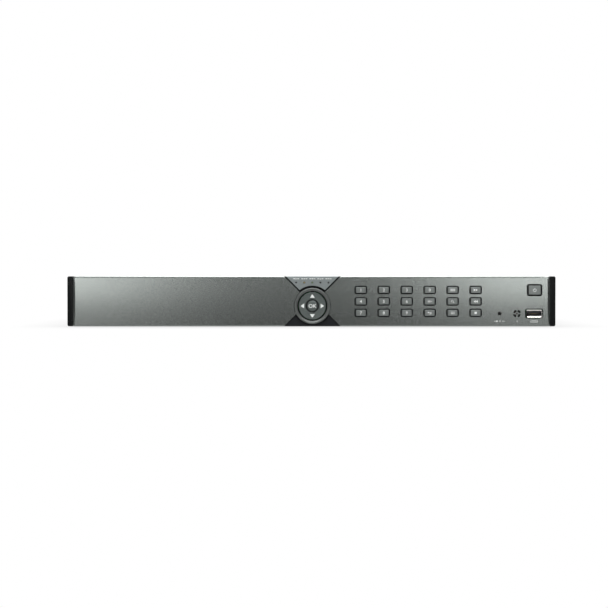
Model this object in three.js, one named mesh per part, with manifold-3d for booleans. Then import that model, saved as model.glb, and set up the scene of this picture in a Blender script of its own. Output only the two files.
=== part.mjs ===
// A full-width, one-unit video recorder: a steel case closed by a folded cover and a rear panel, with a
// black front bezel that carries two crowned face plates, a round navigation pad, a keypad, a power key
// and the front sockets. Inside are the drive, the boards, the power supply and the fan.
// Millimetres. X runs to the right, Y to the back and Z up. The parts are laid out with Y = 0 at the
// front of the face plates and Z = 0 under the feet. The group is then moved in Y so that its box is
// centred.

import * as THREE from "three";
import { mergeVertices } from "three/addons/utils/BufferGeometryUtils.js";
import Module from "manifold-3d";

const wasm = await Module();
wasm.setup();

// ---------------------------------------------------------------- driving dimensions

// Overall
const PANEL_WIDTH = 440;
const PANEL_HEIGHT = 45;
const CASE_DEPTH = 300; // face plates to rear panel
const FOOT_DROP = 0.8; // the feet reach this far below the front panel

// Clearances
const SEAT = 0.1; // between fixed pieces that seat on each other
const SLIDE = 0.25; // around pieces that move

// Steel case
const SHEET = 1;
const CASE_INSET = 2; // the panel overhangs the case by this at each side
const COVER_DROP = 0.8; // the cover lies this far below the panel's top
const BEND = 1.6; // outer bend radius of the cover
const TRAY_WING = 10; // height of the tray's side flanges
const EAR_WING_DEPTH = 46; // depth of the taller wings that hold the rack-ear threads
const COVER_LIP = 4.4; // height of the cover's folded rear lip
const FOOT_RADIUS = 7;
const FOOT_HEIGHT = 2.5;
const FOOT_EDGE = 38; // from the case's side to a foot's centre
const FOOT_SETBACK = 50; // from the front, and from the rear panel

// Front panel
const CAP_WIDTH = 5;
const CAP_CORNER = 1.6;
const PLATE = 1.6;
const CROWN = 0.6; // the plates' edges fall back by this
const PLATE_CHAMFER = 1.2;
const PLATE_CHAMFER_DEPTH = 0.5;
const END_BEVEL = 2.3;
const END_BEVEL_DEPTH = 0.8;
const BEZEL_WALL = 2;
const BEZEL_DEPTH = 12;
const CROWN_STEPS = 4;

// Navigation pad, placed from the panel's centre and bottom edge
const NAV_OFFSET = 0.8;
const RING_RADIUS = 16.3;
const RING_EDGE = 2.05; // from the ring to the panel's bottom edge
const RING_WIDTH = 2.9;
const RING_PROUD = 1.4;
const PAD_GAP = 1.1;
const PAD_PROUD = 0.6;
const OK_SHARE = 0.295; // of the ring's radius
const OK_GAP = 1.2;
const OK_PROUD = 0.9;
const OK_TRAVEL = 0.6;
const GIMBAL_SHARE = 0.098; // the gimbal ring's width, of the pad ring's radius
const GIMBAL_THICKNESS = 1.4;
const PIVOT_DEPTH = 4.8; // where the pad's two tilt axes cross
const PIVOT_RADIUS = 0.6;

// The grooves that run into the ring at 45 degrees, as the heights over the pad's centre where they would meet
const UPPER_GROOVE_RISE = 1.95;
const LOWER_GROOVE_RISE = 7.25;
const GROOVE = 1.3;
const INDICATOR_GAP = 1.9; // between the ring and the indicator panel
const INDICATOR_RISE = 0.4; // the indicator panel's lower edge stands proud by this

// Indicators
const LIGHT_COUNT = 5;
const LIGHT_PITCH = 7.25;
const LIGHT_RADIUS = 0.8;
const LIGHT_HEIGHT = 39.4;

// Keypad
const KEY_WIDTH = 8.9;
const KEY_HEIGHT = 5.2;
const KEY_FRAME = 1.2; // dark frame shown round each key
const KEY_CORNER = 0.8;
const KEY_PROUD = 0.5;
const KEY_TRAVEL = 0.6;
const KEY_PITCH_X = 20.65;
const KEY_PITCH_Z = 10.3;
const FIRST_KEY = 43.7; // from the pad's centre
const MIDDLE_ROW = 22.4;

// Power key and front sockets, placed from the panel's right edge
const POWER_WIDTH = 10.9;
const POWER_HEIGHT = 7.8;
const POWER_FRAME = 1.5;
const POWER_EDGE = 19.1;
const POWER_LINE = 32.6;
const SOCKET_LINE = 11.5;
const JACK_EDGE = 50.4;
const JACK_RADIUS = 1.9;
const RECEIVER_EDGE = 34.9;
const GRILLE_RADIUS = 3.5;
const USB_EDGE = 19.5;
const USB_WIDTH = 13.1;
const USB_HEIGHT = 5.7;
const USB_LIP = 0.9;
const USB_MARGIN = 0.65; // between the socket's lips and the plate

// Boards and drive
const BOARD = 1.6;
const CONTROL_BOARD_DEPTH = 9; // front face of the control board
const STANDOFF = 4.3;
const MAIN_BOARD_DEPTH = 120;
const DRIVE_WIDTH = 101.6;
const DRIVE_DEPTH = 147;
const DRIVE_HEIGHT = 26.1;
const DRIVE_LEFT = 120; // from the case's centre to the drive's left side
const RIBBON_WIDTH = 20;
const RIBBON = 1;

// Rear panel, placed from the case's left side
const INLET_EDGE = 38;
const INLET_WIDTH = 46;
const INLET_HEIGHT = 27;
const FAN_EDGE = 88;
const FAN_SIZE = 39.6;
const FAN_DEPTH = 20;
const VIDEO_EDGE = 122;
const VIDEO_COLUMNS = 8;
const VIDEO_PITCH = 15.6;
const VIDEO_ROW = 16.6;
const VIDEO_RADIUS = 4.8;
const VIDEO_LENGTH = 12;
const AUDIO_EDGE = 262;
const AUDIO_PITCH = 14;
const VGA_EDGE = 318;
const HDMI_EDGE = 350;
const NETWORK_EDGE = 375;
const TERMINAL_EDGE = 408;
const TERMINAL_WIDTH = 30.5;
const TERMINAL_HEIGHT = 11;
const TERMINAL_REACH = 9;
const SCREW_RADIUS = 1.45;
const SCREW_HEAD = 2.9;

// ---------------------------------------------------------------- derived places

const HALF = PANEL_WIDTH / 2;
const FACE_HALF = HALF - CAP_WIDTH - SEAT;
const PANEL_BOTTOM = FOOT_DROP;
const PANEL_TOP = PANEL_BOTTOM + PANEL_HEIGHT;
const PANEL_MIDDLE = (PANEL_BOTTOM + PANEL_TOP) / 2;
const BEZEL_FRONT = PLATE + SEAT;
const BEZEL_INNER = BEZEL_FRONT + BEZEL_WALL;
const CASE_FRONT = BEZEL_DEPTH + SEAT;
const CASE_HALF = HALF - CASE_INSET;
const CASE_BOTTOM = FOOT_HEIGHT + SEAT;
const CASE_TOP = PANEL_TOP - COVER_DROP;
const REAR_FRONT = CASE_DEPTH - SHEET; // inner face of the rear panel
const TRAY_HALF = CASE_HALF - SHEET - SEAT;
const TRAY_FLOOR = CASE_BOTTOM + SHEET;
const COVER_UNDER = CASE_TOP - SHEET;
const NAV_HEIGHT = RING_RADIUS + RING_EDGE;
const NAV_Z = PANEL_BOTTOM + NAV_HEIGHT;
const OK_RADIUS = RING_RADIUS * OK_SHARE;
const GIMBAL_WIDTH = RING_RADIUS * GIMBAL_SHARE;
const UPPER_GROOVE_FOOT = NAV_HEIGHT + UPPER_GROOVE_RISE;
const LOWER_GROOVE_FOOT = NAV_HEIGHT + LOWER_GROOVE_RISE;
const RING_INNER = RING_RADIUS - RING_WIDTH;
const PAD_RADIUS = RING_INNER - PAD_GAP;
const PAD_INNER = OK_RADIUS + OK_GAP;
const PAD_BACK = PLATE;
const NAV_OPENING = RING_INNER - 0.4;
const OK_FLANGE = PAD_INNER + 0.4;
const GIMBAL_INNER = OK_FLANGE + 0.4;
const GIMBAL_OUTER = GIMBAL_INNER + GIMBAL_WIDTH;
const PIN_END = PAD_RADIUS - 0.9;
const LIGHT_Z = PANEL_BOTTOM + LIGHT_HEIGHT;
const CASE_LEFT = -CASE_HALF;
const BOARD_Z = TRAY_FLOOR + STANDOFF + SEAT; // underside of the main board
const BOARD_TOP = BOARD_Z + BOARD;
const BOARD_BACK = REAR_FRONT - 3;
const BOARD_FRONT = BOARD_BACK - MAIN_BOARD_DEPTH;
const BOARD_LEFT = CASE_LEFT + VIDEO_EDGE - 14;
const BOARD_RIGHT = TRAY_HALF - 5;
const DRIVE_FRONT = CASE_FRONT + 9;
const DRIVE_BOTTOM = TRAY_FLOOR + 2 + SEAT;
const RIBBON_X = BOARD_RIGHT - 60;

// ---------------------------------------------------------------- materials

const finish = (color, roughness, metalness = 0) =>
  new THREE.MeshStandardMaterial({ color, roughness, metalness });
const gunmetal = finish(0x7d827e, 0.38, 0.7);
const indicatorGrey = finish(0x8a9290, 0.4, 0.6);
const ringGrey = finish(0x80857f, 0.35, 0.7);
const padGrey = finish(0x5c625f, 0.45, 0.4);
const keyGrey = finish(0x8b8f8b, 0.45, 0.4);
const glossBlack = finish(0x101112, 0.3);
const caseBlack = finish(0x1c1d1e, 0.6, 0.2);
const rubber = finish(0x161616, 0.9);
const nickel = finish(0xc9c8c2, 0.25, 1);
const aluminium = finish(0xb5b8ba, 0.4, 0.9);
const darkPlastic = finish(0x18191a, 0.5);
const smoke = finish(0x2b1414, 0.15);
const clear = finish(0xc9d2c6, 0.2);
const boardGreen = finish(0x1d5a35, 0.5);
const boardBlue = finish(0x1c3a66, 0.5);
const terminalGreen = finish(0x2f8f4e, 0.5);
const ribbonGrey = finish(0xa7a7a2, 0.6);
const cableRed = finish(0xa3201c, 0.5);

// ---------------------------------------------------------------- solids

// A closed geometry as a manifold-3d solid.
function solid(shape) {
  const bare = new THREE.BufferGeometry().setAttribute("position", shape.getAttribute("position"));
  bare.setIndex(shape.index);
  const merged = mergeVertices(bare, 1e-4);
  return new wasm.Manifold(
    new wasm.Mesh({
      numProp: 3,
      vertProperties: merged.attributes.position.array,
      triVerts: new Uint32Array(merged.index.array),
    }),
  );
}

// A manifold-3d solid as a flat-shaded geometry.
function geometryOf(made) {
  const mesh = made.getMesh();
  const position = new Float32Array(mesh.numVert * 3);
  for (let i = 0; i < mesh.numVert; i++) {
    const start = i * mesh.numProp;
    position.set(mesh.vertProperties.subarray(start, start + 3), i * 3);
  }
  const indexed = new THREE.BufferGeometry()
    .setAttribute("position", new THREE.BufferAttribute(position, 3))
    .setIndex(new THREE.BufferAttribute(mesh.triVerts, 1));
  const flat = indexed.toNonIndexed();
  flat.computeVertexNormals();
  return flat;
}

const join = (first, ...rest) => rest.reduce((made, next) => made.add(next), first);
const cut = (body, ...tools) => tools.reduce((made, tool) => made.subtract(tool), body);
const range = (count) => Array.from({ length: count }, (_, i) => i);
const mirrored = (x) => [-x, x];

function block(x0, x1, y0, y1, z0, z1) {
  const box = new THREE.BoxGeometry(x1 - x0, y1 - y0, z1 - z0);
  return solid(box.translate((x0 + x1) / 2, (y0 + y1) / 2, (z0 + z1) / 2));
}

const X = new THREE.Vector3(1, 0, 0);
const Y = new THREE.Vector3(0, 1, 0);
const Z = new THREE.Vector3(0, 0, 1);
const BACK_TO_FRONT = new THREE.Matrix4().makeBasis(X, Z, Y.clone().negate());
const LEFT_TO_RIGHT = new THREE.Matrix4().makeBasis(Y, Z, X);

// An outline in X and Z, extruded from y0 to y1. An edge above 0 chamfers both ends.
function prism(shape, y0, y1, curveSegments = 3, edge = 0) {
  const made = new THREE.ExtrudeGeometry(shape, {
    depth: y1 - y0 - 2 * edge,
    bevelEnabled: edge > 0,
    bevelThickness: edge,
    bevelSize: edge,
    bevelOffset: -edge,
    bevelSegments: 1,
    curveSegments,
  });
  return solid(made.applyMatrix4(BACK_TO_FRONT).translate(0, y1 - edge, 0));
}

// An outline in Y and Z, extruded from x0 to x1.
function bar(shape, x0, x1, curveSegments = 3) {
  const made = new THREE.ExtrudeGeometry(shape, { depth: x1 - x0, bevelEnabled: false, curveSegments });
  return solid(made.applyMatrix4(LEFT_TO_RIGHT).translate(x0, 0, 0));
}

// An outline in X and Y, extruded from z0 to z1.
function column(shape, z0, z1, curveSegments = 3) {
  const made = new THREE.ExtrudeGeometry(shape, { depth: z1 - z0, bevelEnabled: false, curveSegments });
  return solid(made.translate(0, 0, z0));
}

// A cylinder along Y.
function rod(radius, y0, y1, x = 0, z = 0, sides = 16) {
  const made = new THREE.CylinderGeometry(radius, radius, y1 - y0, sides);
  return solid(made.translate(x, (y0 + y1) / 2, z));
}

// A cylinder along Z.
function post(radius, z0, z1, x, y, sides = 12) {
  const made = new THREE.CylinderGeometry(radius, radius, z1 - z0, sides).rotateX(Math.PI / 2);
  return solid(made.translate(x, y, (z0 + z1) / 2));
}

// A cylinder along X.
function pin(radius, x0, x1, y = 0, z = 0, sides = 10) {
  const made = new THREE.CylinderGeometry(radius, radius, x1 - x0, sides).rotateZ(Math.PI / 2);
  return solid(made.translate((x0 + x1) / 2, y, z));
}

// A profile of [radius, y] pairs turned about the Y axis.
function turned(profile, sides = 32) {
  const area = profile.reduce((sum, [r, y], i) => {
    const [nextR, nextY] = profile[(i + 1) % profile.length];
    return sum + r * nextY - nextR * y;
  }, 0);
  const ordered = area > 0 ? profile : [...profile].reverse();
  const points = ordered.map(([r, y]) => new THREE.Vector2(r, y));
  if (points[0].x > 0 || points[points.length - 1].x > 0) points.push(points[0].clone());
  return solid(new THREE.LatheGeometry(points, sides));
}

// ---------------------------------------------------------------- outlines

function polygon(points) {
  return new THREE.Shape(points.map(([a, b]) => new THREE.Vector2(a, b)));
}

function roundedRectangle(x, z, width, height, radius) {
  const [w, h] = [width / 2 - radius, height / 2 - radius];
  const shape = new THREE.Shape();
  shape.absarc(x + w, z + h, radius, 0, Math.PI / 2);
  shape.absarc(x - w, z + h, radius, Math.PI / 2, Math.PI);
  shape.absarc(x - w, z - h, radius, Math.PI, 1.5 * Math.PI);
  shape.absarc(x + w, z - h, radius, 1.5 * Math.PI, 2 * Math.PI);
  return shape;
}

// A band of a ring between two angles.
function arcSlot(x, z, inner, outer, from, to) {
  const shape = new THREE.Shape();
  shape.absarc(x, z, outer, from, to);
  shape.absarc(x, z, inner, to, from, true);
  return shape;
}

// Where the 45-degree line |x| = slope * (height - foot) crosses a circle round the pad's centre, as an angle
// of the circle's right half. The foot is a height above the panel's bottom.
function grooveAngle(foot, slope, radius) {
  const offset = slope * (NAV_HEIGHT - foot);
  // |x| = offset + slope * u, with u the height above the pad's centre
  const root = Math.sqrt(2 * radius * radius - offset * offset);
  const u = (-slope * offset + slope * root) / 2;
  return Math.atan2(u, offset + slope * u);
}

const GROOVE_SHIFT = (GROOVE / 2) * Math.SQRT2;

// One face plate's outline: it ends in two 45-degree edges and an arc round the ring. Side is -1 or 1.
function plateOutline(side) {
  const radius = RING_RADIUS + SLIDE;
  const upperFoot = UPPER_GROOVE_FOOT - GROOVE_SHIFT;
  const upper = grooveAngle(upperFoot, 1, radius);
  const lower = grooveAngle(LOWER_GROOVE_FOOT, -1, radius);
  const turn = (angle) => (side > 0 ? angle : Math.PI - angle);
  const shape = new THREE.Shape();
  shape.moveTo(side * FACE_HALF, PANEL_BOTTOM);
  shape.lineTo(side * FACE_HALF, PANEL_TOP);
  shape.lineTo(NAV_OFFSET + side * (PANEL_HEIGHT - upperFoot), PANEL_TOP);
  shape.absarc(NAV_OFFSET, NAV_Z, radius, turn(upper), turn(lower), side > 0);
  shape.lineTo(NAV_OFFSET + side * LOWER_GROOVE_FOOT, PANEL_BOTTOM);
  return shape;
}

function indicatorOutline() {
  const radius = RING_RADIUS + INDICATOR_GAP;
  const foot = UPPER_GROOVE_FOOT + GROOVE_SHIFT;
  const angle = grooveAngle(foot, 1, radius);
  const top = PANEL_HEIGHT - foot;
  const shape = new THREE.Shape();
  shape.moveTo(NAV_OFFSET + top, PANEL_TOP);
  shape.lineTo(NAV_OFFSET - top, PANEL_TOP);
  shape.absarc(NAV_OFFSET, NAV_Z, radius, Math.PI - angle, angle, true);
  return shape;
}

const lightPlaces = range(LIGHT_COUNT).map((i) => NAV_OFFSET + (i - (LIGHT_COUNT - 1) / 2) * LIGHT_PITCH);

// ---------------------------------------------------------------- keypad layout

const KEY_ROWS = [
  ["key_1", "key_2", "key_3", "key_0", "key_menu", "key_forward"],
  ["key_4", "key_5", "key_6", "key_camera", "key_search", "key_rewind"],
  ["key_7", "key_8", "key_9", "key_escape", "key_function", "key_stop"],
];
const keys = KEY_ROWS.flatMap((names, row) =>
  names.map((name, col) => ({
    name,
    x: NAV_OFFSET + FIRST_KEY + col * KEY_PITCH_X,
    z: PANEL_BOTTOM + MIDDLE_ROW + (1 - row) * KEY_PITCH_Z,
  })),
);
const power = { x: HALF - POWER_EDGE, z: PANEL_BOTTOM + POWER_LINE };
const jack = { x: HALF - JACK_EDGE, z: PANEL_BOTTOM + SOCKET_LINE };
const receiver = { x: HALF - RECEIVER_EDGE, z: PANEL_BOTTOM + SOCKET_LINE };
const usb = { x: HALF - USB_EDGE, z: PANEL_BOTTOM + SOCKET_LINE };

// The opening round a key, as wide as the key and a frame at each side.
function well(place, width, height, frame, y0, y1, segments = 1) {
  const corner = KEY_CORNER + frame * 0.7;
  const shape = roundedRectangle(place.x, place.z, width + 2 * frame, height + 2 * frame, corner);
  return prism(shape, y0, y1, segments);
}

// ---------------------------------------------------------------- the assembly

const recorder = new THREE.Group();

function add(name, made, material, x = 0, y = 0, z = 0) {
  const mesh = new THREE.Mesh(geometryOf(made), material);
  mesh.name = name;
  mesh.position.set(x, y, z);
  recorder.add(mesh);
  return mesh;
}

// ---------------------------------------------------------------- front panel

// The crowned, chamfered slab that both face plates are cut from.
function crownedSlab() {
  const half = PANEL_HEIGHT / 2;
  const crownAt = (z) => CROWN * ((z - PANEL_MIDDLE) / half) ** 2;
  const low = PANEL_BOTTOM + PLATE_CHAMFER;
  const high = PANEL_TOP - PLATE_CHAMFER;
  const face = range(CROWN_STEPS + 1).map((i) => {
    const z = high + ((low - high) * i) / CROWN_STEPS;
    return [crownAt(z), z];
  });
  const edge = CROWN + PLATE_CHAMFER_DEPTH;
  const back = [[PLATE, PANEL_BOTTOM], [PLATE, PANEL_TOP]];
  const side = polygon([...back, [edge, PANEL_TOP], ...face, [edge, PANEL_BOTTOM]]);
  const plan = polygon([
    [-FACE_HALF, PLATE],
    [-FACE_HALF, END_BEVEL_DEPTH],
    [-FACE_HALF + END_BEVEL, 0],
    [FACE_HALF - END_BEVEL, 0],
    [FACE_HALF, END_BEVEL_DEPTH],
    [FACE_HALF, PLATE],
  ]);
  return bar(side, -FACE_HALF, FACE_HALF).intersect(column(plan, PANEL_BOTTOM, PANEL_TOP));
}

function receiverGrille() {
  const quarter = Math.PI / 2;
  const halfSpan = 0.55;
  const slots = range(4).map((i) => {
    const middle = (i + 0.5) * quarter;
    const [from, to] = [middle - halfSpan, middle + halfSpan];
    const band = arcSlot(receiver.x, receiver.z, GRILLE_RADIUS * 0.48, GRILLE_RADIUS, from, to);
    return prism(band, -1, BEZEL_FRONT, 3);
  });
  return [...slots, rod(GRILLE_RADIUS * 0.2, -1, BEZEL_FRONT, receiver.x, receiver.z, 10)];
}

const usbOpening = (margin) =>
  roundedRectangle(
    usb.x,
    usb.z,
    USB_WIDTH + 2 * (USB_LIP + margin),
    USB_HEIGHT + 2 * (USB_LIP + margin),
    1.2 + margin,
  );

function facePlates() {
  const slab = crownedSlab();
  add("left_face_plate", slab.intersect(prism(plateOutline(-1), -1, PLATE, 20)), gunmetal);
  const wells = keys.map((key) => well(key, KEY_WIDTH, KEY_HEIGHT, KEY_FRAME, -1, BEZEL_FRONT));
  const right = cut(
    slab.intersect(prism(plateOutline(1), -1, PLATE, 20)),
    ...wells,
    well(power, POWER_WIDTH, POWER_HEIGHT, POWER_FRAME, -1, BEZEL_FRONT, 2),
    rod(JACK_RADIUS, -1, BEZEL_FRONT, jack.x, jack.z),
    prism(usbOpening(USB_MARGIN), -1, BEZEL_FRONT, 2),
    ...receiverGrille(),
  );
  add("right_face_plate", right, gunmetal);
}

// A wedge-shaped panel whose lower edge stands proud, with a hole for each indicator.
function indicatorPanel() {
  const side = polygon([
    [PLATE, PANEL_BOTTOM],
    [PLATE, PANEL_TOP],
    [CROWN + PLATE_CHAMFER_DEPTH, PANEL_TOP],
    [CROWN, PANEL_TOP - PLATE_CHAMFER],
    [-INDICATOR_RISE, NAV_Z + RING_RADIUS * 0.6],
    [-INDICATOR_RISE, PANEL_BOTTOM],
  ]);
  const wedge = bar(side, NAV_OFFSET - HALF / 4, NAV_OFFSET + HALF / 4);
  const holes = lightPlaces.map((x) => rod(LIGHT_RADIUS + 0.15, -2, BEZEL_FRONT, x, LIGHT_Z, 8));
  return cut(wedge.intersect(prism(indicatorOutline(), -1, PLATE, 14)), ...holes);
}

const CLIP_PLACES = [-0.86, -0.4, 0.3, 0.86];
const CLIP_WIDTH = 9;
const CLIP_REACH = 3.4;
const CLIP_Z = TRAY_FLOOR + 1.8;
const CLIP_THICKNESS = 1.4;
const BOARD_LEFT_EDGE = NAV_OFFSET - 31;
const CONTROL_BOARD_RIGHT = FACE_HALF - BEZEL_WALL - 2.5;
const BOSS_INSET = 4;

const controlBoardBosses = () =>
  [BOARD_LEFT_EDGE + BOSS_INSET, CONTROL_BOARD_RIGHT - BOSS_INSET + 1.5].flatMap((x) =>
    [PANEL_BOTTOM + 6.5, PANEL_TOP - 5].map((z) => ({ x, z })),
  );

function frontBezel() {
  const outer = block(-FACE_HALF, FACE_HALF, BEZEL_FRONT, BEZEL_DEPTH, PANEL_BOTTOM, PANEL_TOP);
  const inner = block(
    -FACE_HALF + BEZEL_WALL,
    FACE_HALF - BEZEL_WALL,
    BEZEL_INNER,
    BEZEL_DEPTH + 1,
    PANEL_BOTTOM + BEZEL_WALL,
    PANEL_TOP - BEZEL_WALL,
  );
  const through = [BEZEL_FRONT - 1, BEZEL_INNER + 1];
  const keyHole = (place, width, height) => {
    const [w, h] = [width / 2 + SLIDE, height / 2 + SLIDE];
    return block(place.x - w, place.x + w, ...through, place.z - h, place.z + h);
  };
  const tray = cut(
    outer,
    inner,
    ...keys.map((key) => keyHole(key, KEY_WIDTH, KEY_HEIGHT)),
    keyHole(power, POWER_WIDTH, POWER_HEIGHT),
    rod(NAV_OPENING, ...through, NAV_OFFSET, NAV_Z, 40),
    ...lightPlaces.map((x) => rod(LIGHT_RADIUS + 0.15, ...through, x, LIGHT_Z, 8)),
    rod(JACK_RADIUS + 1.2, ...through, jack.x, jack.z),
    rod(GRILLE_RADIUS + 0.3, ...through, receiver.x, receiver.z),
    prism(usbOpening(0.3), ...through, 2),
    ...mirrored(FACE_HALF).map((x) =>
      block(
        x - BEZEL_WALL - 1,
        x + BEZEL_WALL + 1,
        ...PEG_SPAN,
        PANEL_MIDDLE - PEG_HALF - SEAT,
        PANEL_MIDDLE + PEG_HALF + SEAT,
      ),
    ),
  );
  return join(
    tray,
    ...CLIP_PLACES.map((share) => bezelClip(share * FACE_HALF)),
    ...navBrackets(),
    ...controlBoardBosses().map(({ x, z }) =>
      rod(2.2, BEZEL_INNER - 0.5, CONTROL_BOARD_DEPTH - SEAT, x, z, 8),
    ),
  );
}

const PEG_SPAN = [7, 10];
const PEG_HALF = 7;

// A snap clip on the bezel's floor that reaches through a slot of the tray's front wall.
function bezelClip(x) {
  const half = CLIP_WIDTH / 2;
  const back = CASE_FRONT + SHEET + CLIP_REACH;
  const arm = block(x - half, x + half, BEZEL_INNER - 0.5, back, CLIP_Z, CLIP_Z + CLIP_THICKNESS);
  const hook = polygon([
    [CASE_FRONT + SHEET + SEAT, CLIP_Z],
    [CASE_FRONT + SHEET + SEAT, CLIP_Z - 1.2],
    [back, CLIP_Z],
  ]);
  return arm.add(bar(hook, x - half, x + half));
}

// Two arms above and below the pad's centre, each with a notch that holds a pin of the gimbal ring.
function navBrackets() {
  const front = PAD_BACK + 1;
  const back = PIVOT_DEPTH + 1;
  const slot = PIVOT_RADIUS + 0.15;
  return [-1, 1].map((way) => {
    const near = GIMBAL_OUTER + 0.5;
    const reach = [way * near, way * (NAV_OPENING + 0.6)].sort((a, b) => a - b);
    const arm = block(NAV_OFFSET - 1.6, NAV_OFFSET + 1.6, front, back, NAV_Z + reach[0], NAV_Z + reach[1]);
    const notch = block(NAV_OFFSET - slot, NAV_OFFSET + slot, PIVOT_DEPTH - slot, back + 1, ...notchSpan(way));
    return arm.subtract(notch);
  });
}

function notchSpan(way) {
  const ends = [NAV_Z + way * (GIMBAL_OUTER - 1), NAV_Z + way * (PIN_END + 0.4)];
  return ends.sort((a, b) => a - b);
}

function endCap(side) {
  const inner = HALF - CAP_WIDTH;
  const shape = new THREE.Shape();
  shape.moveTo(side * inner, PANEL_BOTTOM);
  shape.lineTo(side * inner, PANEL_TOP);
  const corner = HALF - CAP_CORNER;
  const turn = (angle) => (side > 0 ? angle : Math.PI - angle);
  shape.absarc(side * corner, PANEL_TOP - CAP_CORNER, CAP_CORNER, turn(Math.PI / 2), turn(0), side > 0);
  shape.absarc(side * corner, PANEL_BOTTOM + CAP_CORNER, CAP_CORNER, turn(0), turn(-Math.PI / 2), side > 0);
  const front = END_BEVEL_DEPTH - 0.3;
  const body = prism(shape, front, BEZEL_DEPTH, 5);
  const rounding = polygon([
    [side * (HALF + 1), front - 1],
    [side * (HALF + 1), front + CAP_CORNER + 1],
    [side * (HALF - CAP_CORNER - 1), front - 1],
  ]);
  const pegEnds = [side * (inner + 0.5), side * (FACE_HALF - BEZEL_WALL)].sort((a, b) => a - b);
  const pegDepth = [PEG_SPAN[0] + SEAT, PEG_SPAN[1] - SEAT];
  const peg = block(...pegEnds, ...pegDepth, PANEL_MIDDLE - PEG_HALF, PANEL_MIDDLE + PEG_HALF);
  return body.subtract(column(rounding, PANEL_BOTTOM - 1, PANEL_TOP + 1)).add(peg);
}

// ---------------------------------------------------------------- navigation pad

function navRing() {
  const [r0, r1] = [RING_INNER, RING_RADIUS];
  return turned(
    [
      [r1, PLATE],
      [r1, -RING_PROUD * 0.35],
      [r1 - 0.5, -RING_PROUD * 0.85],
      [r1 - 1.2, -RING_PROUD],
      [r0 + 0.8, -RING_PROUD * 0.8],
      [r0, -RING_PROUD * 0.1],
      [r0, PLATE],
    ],
    40,
  );
}

// A dished ring with two lugs that hook over the gimbal's side pins.
function directionPad() {
  const [r0, r1] = [PAD_INNER, PAD_RADIUS];
  const cap = turned(
    [
      [r1, PAD_BACK],
      [r1, -PAD_PROUD * 0.5],
      [r1 - 0.5, -PAD_PROUD],
      [(r0 + r1) / 2, -PAD_PROUD * 0.4],
      [r0 + 0.4, -PAD_PROUD * 0.6],
      [r0, -PAD_PROUD * 0.2],
      [r0, PAD_BACK],
    ],
    36,
  );
  const slot = PIVOT_RADIUS + 0.15;
  const back = PIVOT_DEPTH + 1.1;
  const lugs = [-1, 1].map((way) => {
    const ends = [way * (GIMBAL_OUTER + 0.5), way * (PIN_END + 0.2)].sort((a, b) => a - b);
    const lug = block(...ends, PAD_BACK - 0.3, back, -1.5, 1.5);
    return lug.subtract(block(ends[0] - 1, ends[1] + 1, PIVOT_DEPTH - slot, back + 1, -slot, slot));
  });
  return join(cap, ...lugs);
}

function padGimbal() {
  const [y0, y1] = [PIVOT_DEPTH - GIMBAL_THICKNESS / 2, PIVOT_DEPTH + GIMBAL_THICKNESS / 2];
  const ring = turned([[GIMBAL_OUTER, y0], [GIMBAL_OUTER, y1], [GIMBAL_INNER, y1], [GIMBAL_INNER, y0]], 24);
  const middle = (GIMBAL_INNER + GIMBAL_OUTER) / 2;
  const pins = [-1, 1].flatMap((way) => {
    const ends = [way * middle, way * PIN_END].sort((a, b) => a - b);
    return [pin(PIVOT_RADIUS, ...ends, PIVOT_DEPTH), post(PIVOT_RADIUS, ...ends, 0, PIVOT_DEPTH, 10)];
  });
  return join(ring, ...pins);
}

function okButton() {
  const flange = PAD_BACK + 0.45;
  return turned(
    [
      [0, -OK_PROUD],
      [OK_RADIUS * 0.5, -OK_PROUD * 0.92],
      [OK_RADIUS * 0.85, -OK_PROUD * 0.7],
      [OK_RADIUS, -OK_PROUD * 0.35],
      [OK_RADIUS, flange],
      [OK_FLANGE, flange],
      [OK_FLANGE, flange + 0.7],
      [1.5, flange + 0.7],
      [1.5, SWITCH_TOP - OK_TRAVEL - 0.1],
      [0, SWITCH_TOP - OK_TRAVEL - 0.1],
    ],
    24,
  );
}

// ---------------------------------------------------------------- keys

const SWITCH_TOP = CONTROL_BOARD_DEPTH - 2; // where the switches' plungers end, towards the front
const FLANGE_FRONT = BEZEL_INNER + 0.1;
const FLANGE = 0.7;

// A key about its own centre: cap, retaining flange behind the bezel and stem to its switch.
function key(width, height, travel) {
  const cap = prism(roundedRectangle(0, 0, width, height, KEY_CORNER), -KEY_PROUD, FLANGE_FRONT + 0.3, 1, 0.25);
  const [w, h] = [width / 2 + FLANGE, height / 2 + FLANGE];
  const flange = block(-w, w, FLANGE_FRONT, FLANGE_FRONT + FLANGE, -h, h);
  const stem = block(-1.1, 1.1, FLANGE_FRONT + FLANGE - 0.1, SWITCH_TOP - travel - 0.1, -1.1, 1.1);
  return join(cap, flange, stem);
}

function keypad() {
  for (const { name, x, z } of keys) {
    add(name, key(KEY_WIDTH, KEY_HEIGHT, KEY_TRAVEL), keyGrey, x, 0, z);
  }
  add("power_button", key(POWER_WIDTH, POWER_HEIGHT, KEY_TRAVEL), keyGrey, power.x, 0, power.z);
}

// ---------------------------------------------------------------- front electronics

function statusLightPipe() {
  const bridge = block(
    lightPlaces[0] - 1.5,
    lightPlaces[LIGHT_COUNT - 1] + 1.5,
    BEZEL_INNER + SEAT,
    BEZEL_INNER + 1.2,
    LIGHT_Z - 1.2,
    LIGHT_Z + 1.2,
  );
  const prongs = lightPlaces.map((x) => rod(LIGHT_RADIUS, 0, CONTROL_BOARD_DEPTH - 1.2, x, LIGHT_Z, 6));
  return join(bridge, ...prongs);
}

// A 3.5 mm socket with its bush behind the plate.
function externalReceiverJack() {
  const bush = rod(JACK_RADIUS + 1, BEZEL_FRONT, 5.2, 0, 0);
  const body = block(-4, 4, 5, CONTROL_BOARD_DEPTH - SEAT, -4, 4);
  return cut(bush.add(body), rod(JACK_RADIUS - 0.1, 0, CONTROL_BOARD_DEPTH - 1, 0, 0));
}

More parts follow.
